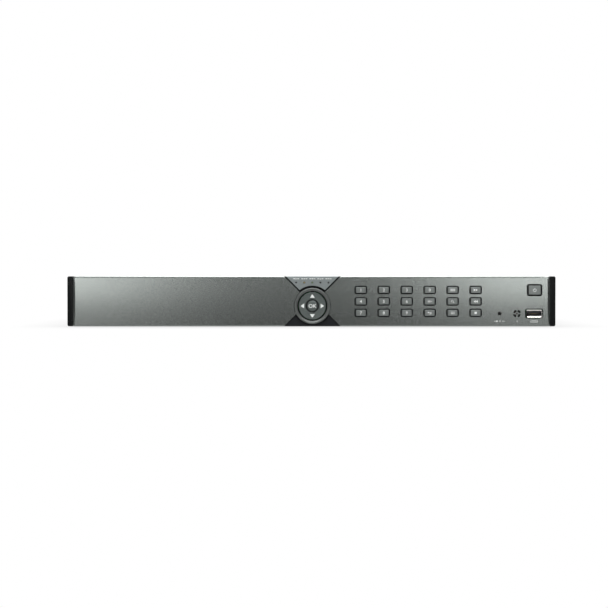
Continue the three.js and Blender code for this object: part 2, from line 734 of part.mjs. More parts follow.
function infraredReceiver() {
  const lens = turned([[0, BEZEL_FRONT + 0.9], [1.4, BEZEL_FRONT + 1.2], [2.5, 4], [2.5, 5.5], [0, 5.5]], 16);
  return lens.add(block(-3.2, 3.2, 4.8, CONTROL_BOARD_DEPTH - SEAT, -3.2, 3.6));
}

// A USB A socket: folded shell, four flared lips and the contact tongue.
function frontUsbSocket() {
  const [w, h] = [USB_WIDTH / 2, USB_HEIGHT / 2];
  const wall = 0.4;
  const front = 0.6;
  const back = CONTROL_BOARD_DEPTH - SEAT;
  const hollow = block(-w + wall, w - wall, front - 1, back - 1, -h + wall, h - wall);
  const shell = cut(block(-w, w, front, back, -h, h), hollow);
  const lips = [
    block(-w + 1.2, w - 1.2, front, front + wall, h - wall, h + USB_LIP),
    block(-w + 1.2, w - 1.2, front, front + wall, -h - USB_LIP, -h + wall),
    block(-w - USB_LIP, -w + wall, front, front + wall, -h + 1.1, h - 1.1),
    block(w - wall, w + USB_LIP, front, front + wall, -h + 1.1, h - 1.1),
  ];
  const tongue = block(-w + 1, w - 1, front + 1.2, back - 0.5, 0.1, 1.9);
  return join(shell, ...lips, tongue);
}

// The board behind the bezel, with a switch for each key, the indicator chips and the ribbon's header.
function controlBoard() {
  const front = CONTROL_BOARD_DEPTH;
  const [low, high] = [PANEL_BOTTOM + 3.4, PANEL_TOP - 3.4];
  const board = block(BOARD_LEFT_EDGE, CONTROL_BOARD_RIGHT, front, front + BOARD, low, high);
  const seated = front + 0.5;
  const tactSwitch = (x, z) => [
    block(x - 3, x + 3, front - 1.4, seated, z - 3, z + 3),
    rod(1.2, SWITCH_TOP, seated, x, z, 6),
  ];
  const chips = lightPlaces.map((x) => block(x - 1, x + 1, front - 0.8, seated, LIGHT_Z - 0.8, LIGHT_Z + 0.8));
  const slots = CLIP_PLACES.map((share) => {
    const x = share * FACE_HALF;
    const half = CLIP_WIDTH / 2 + 1;
    return block(x - half, x + half, front - 1, front + BOARD + 1, CLIP_Z - 2, CLIP_Z + CLIP_THICKNESS + 1);
  });
  return cut(
    join(
      board,
      ...[...keys, power].flatMap(({ x, z }) => tactSwitch(x, z)),
      ...tactSwitch(NAV_OFFSET, NAV_Z),
      ...chips,
    ),
    ...slots,
  );
}

// ---------------------------------------------------------------- case

const vents = (count, pitch, start) => range(count).map((i) => start + i * pitch);

const STANDOFF_PLACES = () =>
  [BOARD_LEFT + 7, (BOARD_LEFT + BOARD_RIGHT) / 2, BOARD_RIGHT - 7].flatMap((x) =>
    [BOARD_FRONT + 7, BOARD_BACK - 22].map((y) => [x, y]),
  );
const DRIVE_X = -DRIVE_LEFT;
const DRIVE_BOSSES = () =>
  [DRIVE_X + 6, DRIVE_X + DRIVE_WIDTH - 6].flatMap((x) =>
    [DRIVE_FRONT + 30, DRIVE_FRONT + 110].map((y) => [x, y]),
  );
const SUPPLY_LEFT = -TRAY_HALF + 4;
const SUPPLY_WIDTH = 84;
const SUPPLY_DEPTH = 138;
const SUPPLY_BACK = REAR_FRONT - FAN_DEPTH - 12;
const SUPPLY_FRONT = SUPPLY_BACK - SUPPLY_DEPTH;
const SUPPLY_BOSSES = () =>
  [SUPPLY_LEFT + 5, SUPPLY_LEFT + SUPPLY_WIDTH - 5].flatMap((x) =>
    [SUPPLY_FRONT + 5, SUPPLY_BACK - 5].map((y) => [x, y]),
  );

function baseTray() {
  const back = REAR_FRONT - SEAT;
  const floor = block(-TRAY_HALF, TRAY_HALF, CASE_FRONT, back, CASE_BOTTOM, TRAY_FLOOR);
  const wallTop = COVER_UNDER - SEAT;
  const frontWall = block(-TRAY_HALF, TRAY_HALF, CASE_FRONT, CASE_FRONT + SHEET, CASE_BOTTOM, wallTop);
  const wings = mirrored(TRAY_HALF).flatMap((x) => {
    const span = x < 0 ? [x, x + SHEET] : [x - SHEET, x];
    return [
      block(...span, CASE_FRONT, back, CASE_BOTTOM, TRAY_FLOOR + TRAY_WING),
      block(...span, CASE_FRONT, CASE_FRONT + EAR_WING_DEPTH, CASE_BOTTOM, COVER_UNDER - 3),
    ];
  });
  const raised = [
    ...STANDOFF_PLACES().map(([x, y]) => post(2.6, TRAY_FLOOR - 0.5, BOARD_Z - SEAT, x, y, 6)),
    ...DRIVE_BOSSES().map(([x, y]) => post(4, TRAY_FLOOR - 0.5, DRIVE_BOTTOM - SEAT, x, y, 6)),
    ...SUPPLY_BOSSES().map(([x, y]) => post(2.6, TRAY_FLOOR - 0.5, BOARD_Z - SEAT, x, y, 6)),
  ];
  const floorVents = vents(7, 11, DRIVE_X + 16).flatMap((x) =>
    [DRIVE_FRONT + 40, DRIVE_FRONT + 76].map((y) =>
      block(x, x + 3, y, y + 26, CASE_BOTTOM - 1, TRAY_FLOOR + 1),
    ),
  );
  const clipSlots = CLIP_PLACES.map((share) => {
    const x = share * FACE_HALF;
    const half = CLIP_WIDTH / 2 + SLIDE;
    const [low, high] = [CLIP_Z - SEAT, CLIP_Z + CLIP_THICKNESS + SEAT];
    return block(x - half, x + half, CASE_FRONT - 1, CASE_FRONT + SHEET + 1, low, high);
  });
  const ribbonSlot = block(
    RIBBON_X - RIBBON_WIDTH / 2 - 3,
    RIBBON_X + RIBBON_WIDTH / 2 + 3,
    CASE_FRONT - 1,
    CASE_FRONT + SHEET + 1,
    RIBBON_Z - 5,
    RIBBON_Z + 5,
  );
  const tray = join(floor, frontWall, ...wings, ...raised);
  return cut(tray, ...floorVents, ...clipSlots, ribbonSlot, ...earHoles(1.8));
}

const EAR_HOLES = [[12, 0], [34, -11], [34, 11]];

// The rack-ear screw holes near the front of both sides.
const earHoles = (radius) =>
  EAR_HOLES.map(([y, z]) =>
    pin(radius, -CASE_HALF - 1, CASE_HALF + 1, CASE_FRONT + y, PANEL_MIDDLE + z, 8),
  );

function coverOutline(half, top) {
  const shape = new THREE.Shape();
  shape.moveTo(-half, CASE_BOTTOM);
  shape.lineTo(half, CASE_BOTTOM);
  shape.absarc(half - BEND, top - BEND, BEND, 0, Math.PI / 2);
  shape.absarc(-half + BEND, top - BEND, BEND, Math.PI / 2, Math.PI);
  return shape;
}

const VENT_COUNT = 9;
const VENT_PITCH = 8;
const VENT_WIDTH = 2.4;
const VENT_HEIGHT = 17;
const VENT_BANKS = () => [CASE_FRONT + 66, REAR_FRONT - 12 - VENT_COUNT * VENT_PITCH];

function topCover() {
  const front = CASE_FRONT;
  const back = REAR_FRONT - SEAT;
  const outer = prism(coverOutline(CASE_HALF, CASE_TOP), front, back, 3);
  const within = CASE_HALF - SHEET;
  const inner = block(-within, within, front - 1, back + 1, CASE_BOTTOM - 1, COVER_UNDER);
  const lip = block(-within, within, back - SHEET, back, COVER_UNDER - COVER_LIP, COVER_UNDER + 0.5);
  const low = PANEL_MIDDLE - VENT_HEIGHT / 2;
  const slots = VENT_BANKS().flatMap((start) =>
    vents(VENT_COUNT, VENT_PITCH, start).map((y) =>
      block(-CASE_HALF - 1, CASE_HALF + 1, y, y + VENT_WIDTH, low, low + VENT_HEIGHT),
    ),
  );
  const notchHalf = FAN_SIZE / 2 + 0.4;
  const fanNotch = block(fan.x - notchHalf, fan.x + notchHalf, back - 2, back + 1, 30, COVER_UNDER);
  const lipHoles = screwPlaces().map((x) =>
    rod(SCREW_RADIUS + SEAT, back - SHEET - 1, back + 1, x, SCREW_Z, 10),
  );
  // the slots cut only the two sides, because no part of the folded sheet lies between them
  return cut(join(outer.subtract(inner), lip), fanNotch, ...slots, ...lipHoles, ...earHoles(2.2));
}

const SCREW_Z = CASE_TOP - SHEET - COVER_LIP / 2;
const SCREW_EDGE = 8;
const screwPlaces = () => [
  CASE_LEFT + SCREW_EDGE,
  CASE_LEFT + AUDIO_EDGE - AUDIO_PITCH - 6,
  CASE_HALF - SCREW_EDGE,
];

// A pan-head screw about its own axis, with its head outside the rear panel and a cross recess.
function coverScrew() {
  const shaft = rod(SCREW_RADIUS, REAR_FRONT - 5, CASE_DEPTH + 0.3, 0, 0, 10);
  const head = turned(
    [
      [0, CASE_DEPTH + SEAT],
      [SCREW_HEAD, CASE_DEPTH + SEAT],
      [SCREW_HEAD, CASE_DEPTH + 1],
      [SCREW_HEAD * 0.7, CASE_DEPTH + 1.9],
      [0, CASE_DEPTH + 2.1],
    ],
    12,
  );
  const top = CASE_DEPTH + 3;
  const deep = CASE_DEPTH + 0.9;
  const half = 0.35;
  const arm = SCREW_HEAD * 0.55;
  const level = block(-arm, arm, deep, top, -half, half);
  const upright = block(-half, half, deep, top, -arm, arm);
  return cut(shaft.add(head), level, upright);
}

// ---------------------------------------------------------------- rear sockets

const REAR = CASE_DEPTH; // outer face of the rear panel
const inlet = { x: CASE_LEFT + INLET_EDGE, z: PANEL_MIDDLE };
const fan = { x: CASE_LEFT + FAN_EDGE, z: (TRAY_FLOOR + COVER_UNDER) / 2 };
const videoX = range(VIDEO_COLUMNS).map((i) => CASE_LEFT + VIDEO_EDGE + i * VIDEO_PITCH);
const VIDEO_LOW = BOARD_TOP + 6.6;
const videoZ = [VIDEO_LOW, VIDEO_LOW + VIDEO_ROW];
const audioX = range(3).map((i) => CASE_LEFT + AUDIO_EDGE + (i - 0.5) * AUDIO_PITCH);
const audioZ = [VIDEO_LOW, VIDEO_LOW + AUDIO_PITCH + 1];
const vga = { x: CASE_LEFT + VGA_EDGE, z: BOARD_TOP + 7 };
const hdmi = { x: CASE_LEFT + HDMI_EDGE, z: BOARD_TOP + 3.8 };
const network = { x: CASE_LEFT + NETWORK_EDGE, z: BOARD_TOP + 7 };
const terminal = { x: CASE_LEFT + TERMINAL_EDGE, z: BOARD_TOP + 7 };
const VIDEO_FLANGE = VIDEO_RADIUS + 1.4;
const AUDIO_FLANGE = 5.2;
const VGA_WIDTH = 30.8;
const VGA_HEIGHT = 12.5;
const HDMI_WIDTH = 15;
const HDMI_HEIGHT = 5.8;
const NETWORK_WIDTH = 16;
const NETWORK_HEIGHT = 13.6;
const IN_TO_OUT = [REAR_FRONT - 1, REAR + 1];

function window(place, width, height, margin = SEAT) {
  const [w, h] = [width / 2 + margin, height / 2 + margin];
  return block(place.x - w, place.x + w, ...IN_TO_OUT, place.z - h, place.z + h);
}

// Slots across the fan's circle.
function fanGrille() {
  const radius = FAN_SIZE / 2 - 2;
  const pitch = 5;
  return range(7).map((i) => {
    const z = (i - 3) * pitch;
    const half = Math.sqrt(radius ** 2 - z ** 2) - 1;
    return prism(roundedRectangle(fan.x, fan.z + z, 2 * half, 2.8, 1.3), ...IN_TO_OUT, 1);
  });
}

// A flat sheet with an opening for each socket, slots for the fan and a small vent field over the sockets
// at its other end.
function rearPanel() {
  const sheet = prism(coverOutline(CASE_HALF, CASE_TOP), REAR_FRONT, REAR, 3);
  const high = PANEL_TOP - 14;
  const slots = vents(8, 6, CASE_LEFT + VGA_EDGE + 2).map((x) =>
    block(x, x + VENT_WIDTH, ...IN_TO_OUT, high - 4, high + 5),
  );
  return cut(
    sheet,
    window(inlet, INLET_WIDTH, INLET_HEIGHT),
    ...fanGrille(),
    ...videoX.flatMap((x) => videoZ.map((z) => rod(VIDEO_FLANGE + SEAT, ...IN_TO_OUT, x, z, 10))),
    ...audioX.flatMap((x) => audioZ.map((z) => rod(AUDIO_FLANGE + SEAT, ...IN_TO_OUT, x, z, 10))),
    window(vga, 20, 10),
    window(hdmi, HDMI_WIDTH, HDMI_HEIGHT),
    window(network, NETWORK_WIDTH, NETWORK_HEIGHT),
    window(terminal, TERMINAL_WIDTH, TERMINAL_HEIGHT, SLIDE),
    ...screwPlaces().map((x) => rod(SCREW_RADIUS + SEAT, ...IN_TO_OUT, x, SCREW_Z, 10)),
    ...slots,
  );
}

// One bayonet socket at the panel: flange, barrel with two lugs, hollow round its insulator.
function videoSocket(x, z) {
  const end = REAR + VIDEO_LENGTH;
  const flange = rod(VIDEO_FLANGE, REAR_FRONT - 1, REAR + 1.5, x, z, 10);
  const barrel = rod(VIDEO_RADIUS, REAR, end, x, z, 10);
  const bore = rod(VIDEO_RADIUS - 0.75, REAR + 3, end + 1, x, z, 8);
  const insulator = rod(2.3, REAR + 2, end - 1.5, x, z, 6);
  const lugs = block(x - 1, x + 1, end - 5, end - 3, z - VIDEO_RADIUS - 0.9, z + VIDEO_RADIUS + 0.9);
  return join(flange, barrel, lugs).subtract(bore).add(insulator);
}

function videoInputBlock() {
  const [left, right] = [videoX[0] - 7, videoX[VIDEO_COLUMNS - 1] + 7];
  const [low, high] = [BOARD_TOP + SEAT, videoZ[1] + 5.8];
  const body = block(left, right, REAR_FRONT - 16, REAR_FRONT - SEAT, low, high);
  return join(body, ...videoX.flatMap((x) => videoZ.map((z) => videoSocket(x, z))));
}

function audioSocket(x, z) {
  const end = REAR + 8.5;
  const flange = rod(AUDIO_FLANGE, REAR_FRONT - 1, REAR + 1, x, z, 10);
  const barrel = rod(4.1, REAR, end, x, z, 10);
  return flange.add(barrel).subtract(rod(1.7, REAR + 1, end + 1, x, z, 8));
}

function audioJackBlock() {
  const [left, right] = [audioX[0] - 6.5, audioX[2] + 6.5];
  const [low, high] = [BOARD_TOP + SEAT, audioZ[1] + 6.5];
  const body = block(left, right, REAR_FRONT - 12, REAR_FRONT - SEAT, low, high);
  return join(body, ...audioX.flatMap((x) => audioZ.map((z) => audioSocket(x, z))));
}

// The D-shaped screen of a fifteen-way socket.
function screenOutline(x, z, width, height) {
  const [w, h] = [width / 2, height / 2];
  return polygon([[x - w, z + h], [x + w, z + h], [x + w - 1.6, z - h], [x - w + 1.6, z - h]]);
}

function vgaPort() {
  const [w, h] = [VGA_WIDTH / 2, VGA_HEIGHT / 2];
  const flange = block(-w, w, REAR + SEAT, REAR + 0.9, -h, h);
  const screen = prism(screenOutline(0, 0, 16.9, 8.3), REAR + 0.5, REAR + 6, 1);
  const hollow = prism(screenOutline(0, 0, 16.1, 7.5), REAR + 1.2, REAR + 7, 1);
  const insert = prism(screenOutline(0, 0, 15.3, 6.7), REAR + 0.5, REAR + 5.4, 1);
  const body = block(-9.6, 9.6, REAR_FRONT - 8, REAR + 0.5, -4.7, 4.7);
  const nuts = mirrored(12.5).map((x) => {
    const thread = rod(1.2, REAR + 2, REAR + 6, x, 0, 8);
    return rod(2.3, REAR + 0.5, REAR + 5, x, 0, 6).subtract(thread);
  });
  return join(flange, screen.subtract(hollow), insert, body, ...nuts);
}

function hdmiPort() {
  const [w, h] = [HDMI_WIDTH / 2, HDMI_HEIGHT / 2];
  const outline = (inset) =>
    polygon([
      [-w + inset, h - inset],
      [w - inset, h - inset],
      [w - inset, -h / 3],
      [w - 2 - inset / 2, -h + inset],
      [-w + 2 + inset / 2, -h + inset],
      [-w + inset, -h / 3],
    ]);
  const hollow = prism(outline(0.5), REAR_FRONT - 10, REAR + 2);
  const shell = prism(outline(0), REAR_FRONT - 11, REAR + 0.8).subtract(hollow);
  return shell.add(block(-w + 2.3, w - 2.3, REAR_FRONT - 10.5, REAR - 1, -0.3, 0.9));
}

// An eight-contact modular socket: a box with the plug's cavity, the latch's notch and the contact comb.
function networkPort() {
  const [w, h] = [NETWORK_WIDTH / 2, NETWORK_HEIGHT / 2];
  const box = block(-w, w, REAR_FRONT - 17, REAR + 1, -h, h);
  const cavity = block(-5.95, 5.95, REAR - 12, REAR + 2, -4.4, 3.4);
  const notch = block(-3.1, 3.1, REAR - 12, REAR + 2, -6, -4);
  const comb = range(8).map((i) => {
    const x = (i - 3.5) * 1.02;
    return block(x - 0.2, x + 0.2, REAR - 12.5, REAR - 4, 2.4, 4);
  });
  return join(cut(box, cavity, notch), ...comb);
}

// The pull-off screw terminal, with a wire hole and a screw well for each pole.
function terminalPlug() {
  const poles = 8;
  const pitch = TERMINAL_WIDTH / poles;
  const [w, h] = [TERMINAL_WIDTH / 2, TERMINAL_HEIGHT / 2];
  const body = block(-w, w, REAR - 4, REAR + TERMINAL_REACH, -h, h);
  const holes = range(poles).flatMap((i) => {
    const x = -w + (i + 0.5) * pitch;
    return [
      block(x - 1.2, x + 1.2, REAR + 3, REAR + TERMINAL_REACH + 1, -h + 1.6, -h + 4.4),
      post(1.2, h - 2.5, h + 1, x, REAR + 4.5, 8),
      block(x - 0.6, x + 0.6, REAR - 5, REAR - 0.5, -0.6, 0.6),
    ];
  });
  return cut(body, ...holes);
}

const ROCKER_X = 15.5; // from the inlet's centre
const ROCKER_WIDTH = 9.4;
const ROCKER_HEIGHT = 18.4;
const ROCKER_TILT = 8; // degrees either side of level
const ROCKER_PIVOT = REAR - 1;

// The mains inlet and its switch opening in one moulding, about its own centre.
function mainsInlet() {
  const [w, h] = [INLET_WIDTH / 2, INLET_HEIGHT / 2];
  const rim = roundedRectangle(0, 0, INLET_WIDTH + 4, INLET_HEIGHT + 4, 2);
  const flange = prism(rim, REAR + SEAT, REAR + 2.4, 3);
  const body = block(-w + SEAT, w - SEAT, REAR_FRONT - 20, REAR + 1, -h + SEAT, h - SEAT);
  const cavity = polygon([[-12, -8], [12, -8], [12, 4], [8, 8], [-8, 8], [-12, 4]]);
  const socketX = -7.6;
  const hollow = prism(cavity, REAR - 13, REAR + 3).translate([socketX, 0, 0]);
  const blades = [[-7, -2], [7, -2], [0, 2]].map(([x, z]) =>
    block(socketX + x - 1, socketX + x + 1, REAR - 14, REAR - 0.5, z - 2, z + 2),
  );
  const rockerHole = block(
    ROCKER_X - ROCKER_WIDTH / 2 - SLIDE,
    ROCKER_X + ROCKER_WIDTH / 2 + SLIDE,
    REAR - 9,
    REAR + 3,
    -ROCKER_HEIGHT / 2 - 0.5,
    ROCKER_HEIGHT / 2 + 0.5,
  );
  return join(cut(flange.add(body), hollow, rockerHole), ...blades);
}

// The rocker about its pivot, level: a shallow V in front of a half-round back.
function rockerSwitch() {
  const half = ROCKER_HEIGHT / 2 - 0.3;
  const slope = Math.tan(THREE.MathUtils.degToRad(ROCKER_TILT));
  const face = REAR + 2.4 - ROCKER_PIVOT;
  const side = new THREE.Shape();
  side.moveTo(face, 0);
  side.lineTo(face + slope * half, half);
  side.lineTo(0, half - 0.6);
  side.absarc(0, 0, 5.4, Math.PI / 2, 1.5 * Math.PI);
  side.lineTo(0, -half + 0.6);
  side.lineTo(face + slope * half, -half);
  return bar(side, -ROCKER_WIDTH / 2, ROCKER_WIDTH / 2, 5);
}

// ---------------------------------------------------------------- fan

const FAN_BACK = REAR_FRONT - SEAT;
const HUB_RADIUS = 9.5;

function fanFrame() {
  const half = FAN_SIZE / 2;
  const outline = roundedRectangle(0, 0, FAN_SIZE, FAN_SIZE, 3);
  const frame = prism(outline, -FAN_DEPTH, 0, 3).subtract(rod(half - 1, -FAN_DEPTH - 1, 1, 0, 0, 24));
  const corners = mirrored(half - 3.6).flatMap((x) =>
    mirrored(half - 3.6).map((z) => rod(1.8, -FAN_DEPTH - 1, 1, x, z, 6)),
  );
  const spokes = range(3).map((i) => {
    const spoke = block(-1.2, 1.2, -2.4, -0.2, HUB_RADIUS - 2, half - 0.5);
    return spoke.rotate([0, i * 120, 0]);
  });
  return cut(join(frame, rod(HUB_RADIUS, -2.6, 0, 0, 0, 16), ...spokes), ...corners);
}

function fanRotor() {
  const blades = range(7).map((i) => {
    const blade = block(-0.6, 0.6, -FAN_DEPTH + 3, -5, HUB_RADIUS - 1, FAN_SIZE / 2 - 2);
    const pitched = blade.translate([0, 11, 0]).rotate([0, 0, 28]).translate([0, -11, 0]);
    return pitched.rotate([0, (i * 360) / 7, 0]);
  });
  return join(rod(HUB_RADIUS, -FAN_DEPTH + 1.5, -2.9, 0, 0, 16), ...blades);
}

// ---------------------------------------------------------------- inside the case

const RIBBON_Z = PANEL_BOTTOM + 20;
const RIBBON_END = BOARD_FRONT + 13;
const CHIP_X = (BOARD_LEFT + BOARD_RIGHT) / 2 + 10;
const CHIP_Y = BOARD_FRONT + 55;
const SATA_X = DRIVE_X + 22;
const SATA_END = BOARD_FRONT + 22;

// The main board with its chips, capacitors and headers.
function mainBoard() {
  const seated = BOARD_TOP - 0.5;
  const board = block(BOARD_LEFT, BOARD_RIGHT, BOARD_FRONT, BOARD_BACK, BOARD_Z, BOARD_TOP);
  const through = [BOARD_Z - 1, BOARD_TOP + 1];
  const notch = block(BOARD_LEFT - 1, BOARD_LEFT + 6, BOARD_BACK - 24, BOARD_BACK + 1, ...through);
  const processor = block(CHIP_X - 15, CHIP_X + 15, CHIP_Y - 15, CHIP_Y + 15, seated, BOARD_TOP + 1.6);
  const decoders = range(4).map((i) => {
    const x = videoX[0] + 12 + i * 30;
    return block(x - 7, x + 7, BOARD_BACK - 52, BOARD_BACK - 38, seated, BOARD_TOP + 1.2);
  });
  const memory = range(4).map((i) => {
    const y = CHIP_Y - 24 + i * 14;
    return block(CHIP_X + 28, CHIP_X + 39, y, y + 9, seated, BOARD_TOP + 1.1);
  });
  const capacitors = range(5).map((i) =>
    post(4, seated, BOARD_TOP + 11, BOARD_RIGHT - 14, BOARD_FRONT + 22 + i * 11, 12),
  );
  const ribbonHeader = block(
    RIBBON_X - 13,
    RIBBON_X + 13,
    RIBBON_END + SEAT,
    RIBBON_END + 5,
    seated,
    BOARD_TOP + 8,
  );
  const driveHeader = block(
    SATA_X - 8,
    SATA_X + 8,
    SATA_END + SEAT,
    SATA_END + 6,
    seated,
    BOARD_TOP + 8,
  );
  const terminalHeader = block(
    terminal.x - TERMINAL_WIDTH / 2,
    terminal.x + TERMINAL_WIDTH / 2,
    BOARD_BACK - 12,
    REAR - 4 - 0.5,
    seated,
    terminal.z + TERMINAL_HEIGHT / 2,
  );
  const headers = [ribbonHeader, driveHeader, terminalHeader];
  return join(board.subtract(notch), processor, ...decoders, ...memory, ...capacitors, ...headers);
}

function processorHeatsink() {
  const base = BOARD_TOP + 1.6 + SEAT;
  const plate = block(-20, 20, -20, 20, base, base + 3);
  const fins = range(10).map((i) => {
    const x = -20 + i * 4.3;
    return block(x, x + 1.3, -20, 20, base + 2.5, base + 14);
  });
  return join(plate, ...fins);
}

function hardDrive() {
  const [x0, x1] = [DRIVE_X, DRIVE_X + DRIVE_WIDTH];
  const [y0, y1] = [DRIVE_FRONT, DRIVE_FRONT + DRIVE_DEPTH];
  const top = DRIVE_BOTTOM + DRIVE_HEIGHT;
  const body = block(x0, x1, y0, y1, DRIVE_BOTTOM, top - 3);
  const plan = roundedRectangle((x0 + x1) / 2, (y0 + y1) / 2, DRIVE_WIDTH - 3, DRIVE_DEPTH - 4, 8);
  const lid = column(plan, top - 3.5, top);
  const motor = post(22, top - 0.8, top + 1, (x0 + x1) / 2, y0 + 52, 24).subtract(
    post(16, top - 1, top - 0.2, (x0 + x1) / 2, y0 + 52, 20),
  );
  const socket = block(x0 + 10, x0 + 52, y1 - 7, y1 + 1, DRIVE_BOTTOM + 3, DRIVE_BOTTOM + 8);
  return cut(join(body, lid), motor, socket);
}

function powerSupply() {
  const [x0, x1] = [SUPPLY_LEFT, SUPPLY_LEFT + SUPPLY_WIDTH];
  const [y0, y1] = [SUPPLY_FRONT, SUPPLY_BACK];
  const seated = BOARD_TOP - 0.5;
  return join(
    block(x0, x1, y0, y1, BOARD_Z, BOARD_TOP),
    block(x0 + 26, x0 + 58, y0 + 50, y0 + 84, seated, BOARD_TOP + 26), // transformer
    block(x0 + 6, x0 + 10, y0 + 24, y0 + 104, seated, BOARD_TOP + 28), // primary heat sink
    block(x1 - 12, x1 - 8, y0 + 24, y0 + 84, seated, BOARD_TOP + 28), // secondary heat sink
    post(11, seated, BOARD_TOP + 27, x0 + 34, y0 + 108, 16), // reservoir capacitor
    block(x0 + 54, x0 + 76, y0 + 100, y0 + 122, seated, BOARD_TOP + 18), // line filter choke
    ...range(3).map((i) => post(5, seated, BOARD_TOP + 20, x0 + 24 + i * 13, y0 + 14, 12)),
    block(x1 - 20, x1 - 6, y0 + 4, y0 + 10, seated, BOARD_TOP + 7), // output header
  );
}

// A flat cable that runs in the Y and Z plane, as the outline round its centre line.
function flatCable(points, width, thickness) {
  const places = points.map(([y, z]) => new THREE.Vector3(y, z, 0));
  const line = new THREE.CatmullRomCurve3(places, false, "centripetal");
  const steps = 16;
  const edge = (way) =>
    range(steps + 1).map((i) => {
      const at = line.getPointAt(i / steps);
      const along = line.getTangentAt(i / steps);
      return [at.x - (way * along.y * thickness) / 2, at.y + (way * along.x * thickness) / 2];
    });
  return bar(polygon([...edge(1), ...edge(-1).reverse()]), -width / 2, width / 2);
}

function ribbonCable() {
  const start = CONTROL_BOARD_DEPTH + BOARD + SEAT;
  const end = [RIBBON_END, BOARD_TOP + 4];
  const run = TRAY_FLOOR + 3;
  const route = [
    [start, RIBBON_Z],
    [start + 9, RIBBON_Z],
    [start + 24, run + 4],
    [start + 40, run],
    [start + 54, run],
    [RIBBON_END - 46, run],
    [RIBBON_END - 32, run],
    [RIBBON_END - 12, end[1]],
    end,
  ];
  return flatCable(
    route,
    RIBBON_WIDTH,
    RIBBON,
  );
}

function driveCable() {
  const start = DRIVE_FRONT + DRIVE_DEPTH - 6;
  const low = DRIVE_BOTTOM + 5.5;
  const crest = BOARD_TOP + 5;
  const middle = (start + SATA_END) / 2 + 4;
  const ends = [[start, low], [start + 9, low], [SATA_END - 5, crest], [SATA_END, crest]];
  return flatCable([...ends.slice(0, 2), [middle, crest + 2], ...ends.slice(2)], 8, 1.4);
}

function foot() {
  return post(FOOT_RADIUS, 0, FOOT_HEIGHT, 0, 0, 16);
}

// ---------------------------------------------------------------- put together

add("base_tray", baseTray(), caseBlack);
add("top_cover", topCover(), caseBlack);
add("rear_panel", rearPanel(), caseBlack);
add("front_bezel", frontBezel(), glossBlack);
facePlates();
add("indicator_panel", indicatorPanel(), indicatorGrey);
add("left_end_cap", endCap(-1), glossBlack);
add("right_end_cap", endCap(1), glossBlack);
add("nav_ring", navRing(), ringGrey, NAV_OFFSET, 0, NAV_Z);
add("direction_pad", directionPad(), padGrey, NAV_OFFSET, 0, NAV_Z);
add("pad_gimbal", padGimbal(), darkPlastic, NAV_OFFSET, 0, NAV_Z);
add("ok_button", okButton(), padGrey, NAV_OFFSET, 0, NAV_Z);
keypad();
add("status_light_pipe", statusLightPipe(), clear);
add("external_receiver_jack", externalReceiverJack(), darkPlastic, jack.x, 0, jack.z);
add("infrared_receiver", infraredReceiver(), smoke, receiver.x, 0, receiver.z);
add("front_usb_socket", frontUsbSocket(), nickel, usb.x, 0, usb.z);
add("control_board", controlBoard(), boardGreen);
add("main_board", mainBoard(), boardBlue);
add("processor_heatsink", processorHeatsink(), aluminium, CHIP_X, CHIP_Y, 0);
add("hard_drive", hardDrive(), aluminium);
add("power_supply", powerSupply(), boardGreen);
add("mains_inlet", mainsInlet(), darkPlastic, inlet.x, 0, inlet.z);
const rocker = add("rocker_switch", rockerSwitch(), glossBlack, inlet.x + ROCKER_X, ROCKER_PIVOT, inlet.z);
rocker.rotation.x = THREE.MathUtils.degToRad(ROCKER_TILT);
add("fan_frame", fanFrame(), darkPlastic, fan.x, FAN_BACK, fan.z);
add("fan_rotor", fanRotor(), darkPlastic, fan.x, FAN_BACK, fan.z);
add("video_input_block", videoInputBlock(), nickel);
add("audio_jack_block", audioJackBlock(), nickel);
add("vga_port", vgaPort(), nickel, vga.x, 0, vga.z);
add("hdmi_port", hdmiPort(), nickel, hdmi.x, 0, hdmi.z);
add("network_port", networkPort(), nickel, network.x, 0, network.z);
add("terminal_plug", terminalPlug(), terminalGreen, terminal.x, 0, terminal.z);
add("ribbon_cable", ribbonCable(), ribbonGrey, RIBBON_X);
add("drive_cable", driveCable(), cableRed, SATA_X);
screwPlaces().forEach((x, i) => add(`cover_screw_${i + 1}`, coverScrew(), nickel, x, 0, SCREW_Z));
for (const [side, x] of [["left", CASE_LEFT + FOOT_EDGE], ["right", CASE_HALF - FOOT_EDGE]]) {
  for (const [end, y] of [["front", FOOT_SETBACK], ["rear", CASE_DEPTH - FOOT_SETBACK]]) {
    add(`foot_${end}_${side}`, foot(), rubber, x, y, 0);
  }
}

// Centre the box in Y between the ring's crest and the ends of the video sockets.
recorder.position.y = (RING_PROUD - (CASE_DEPTH + VIDEO_LENGTH)) / 2;

export default recorder;
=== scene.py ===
import math

import bmesh
import bpy
from mathutils import Matrix, Vector


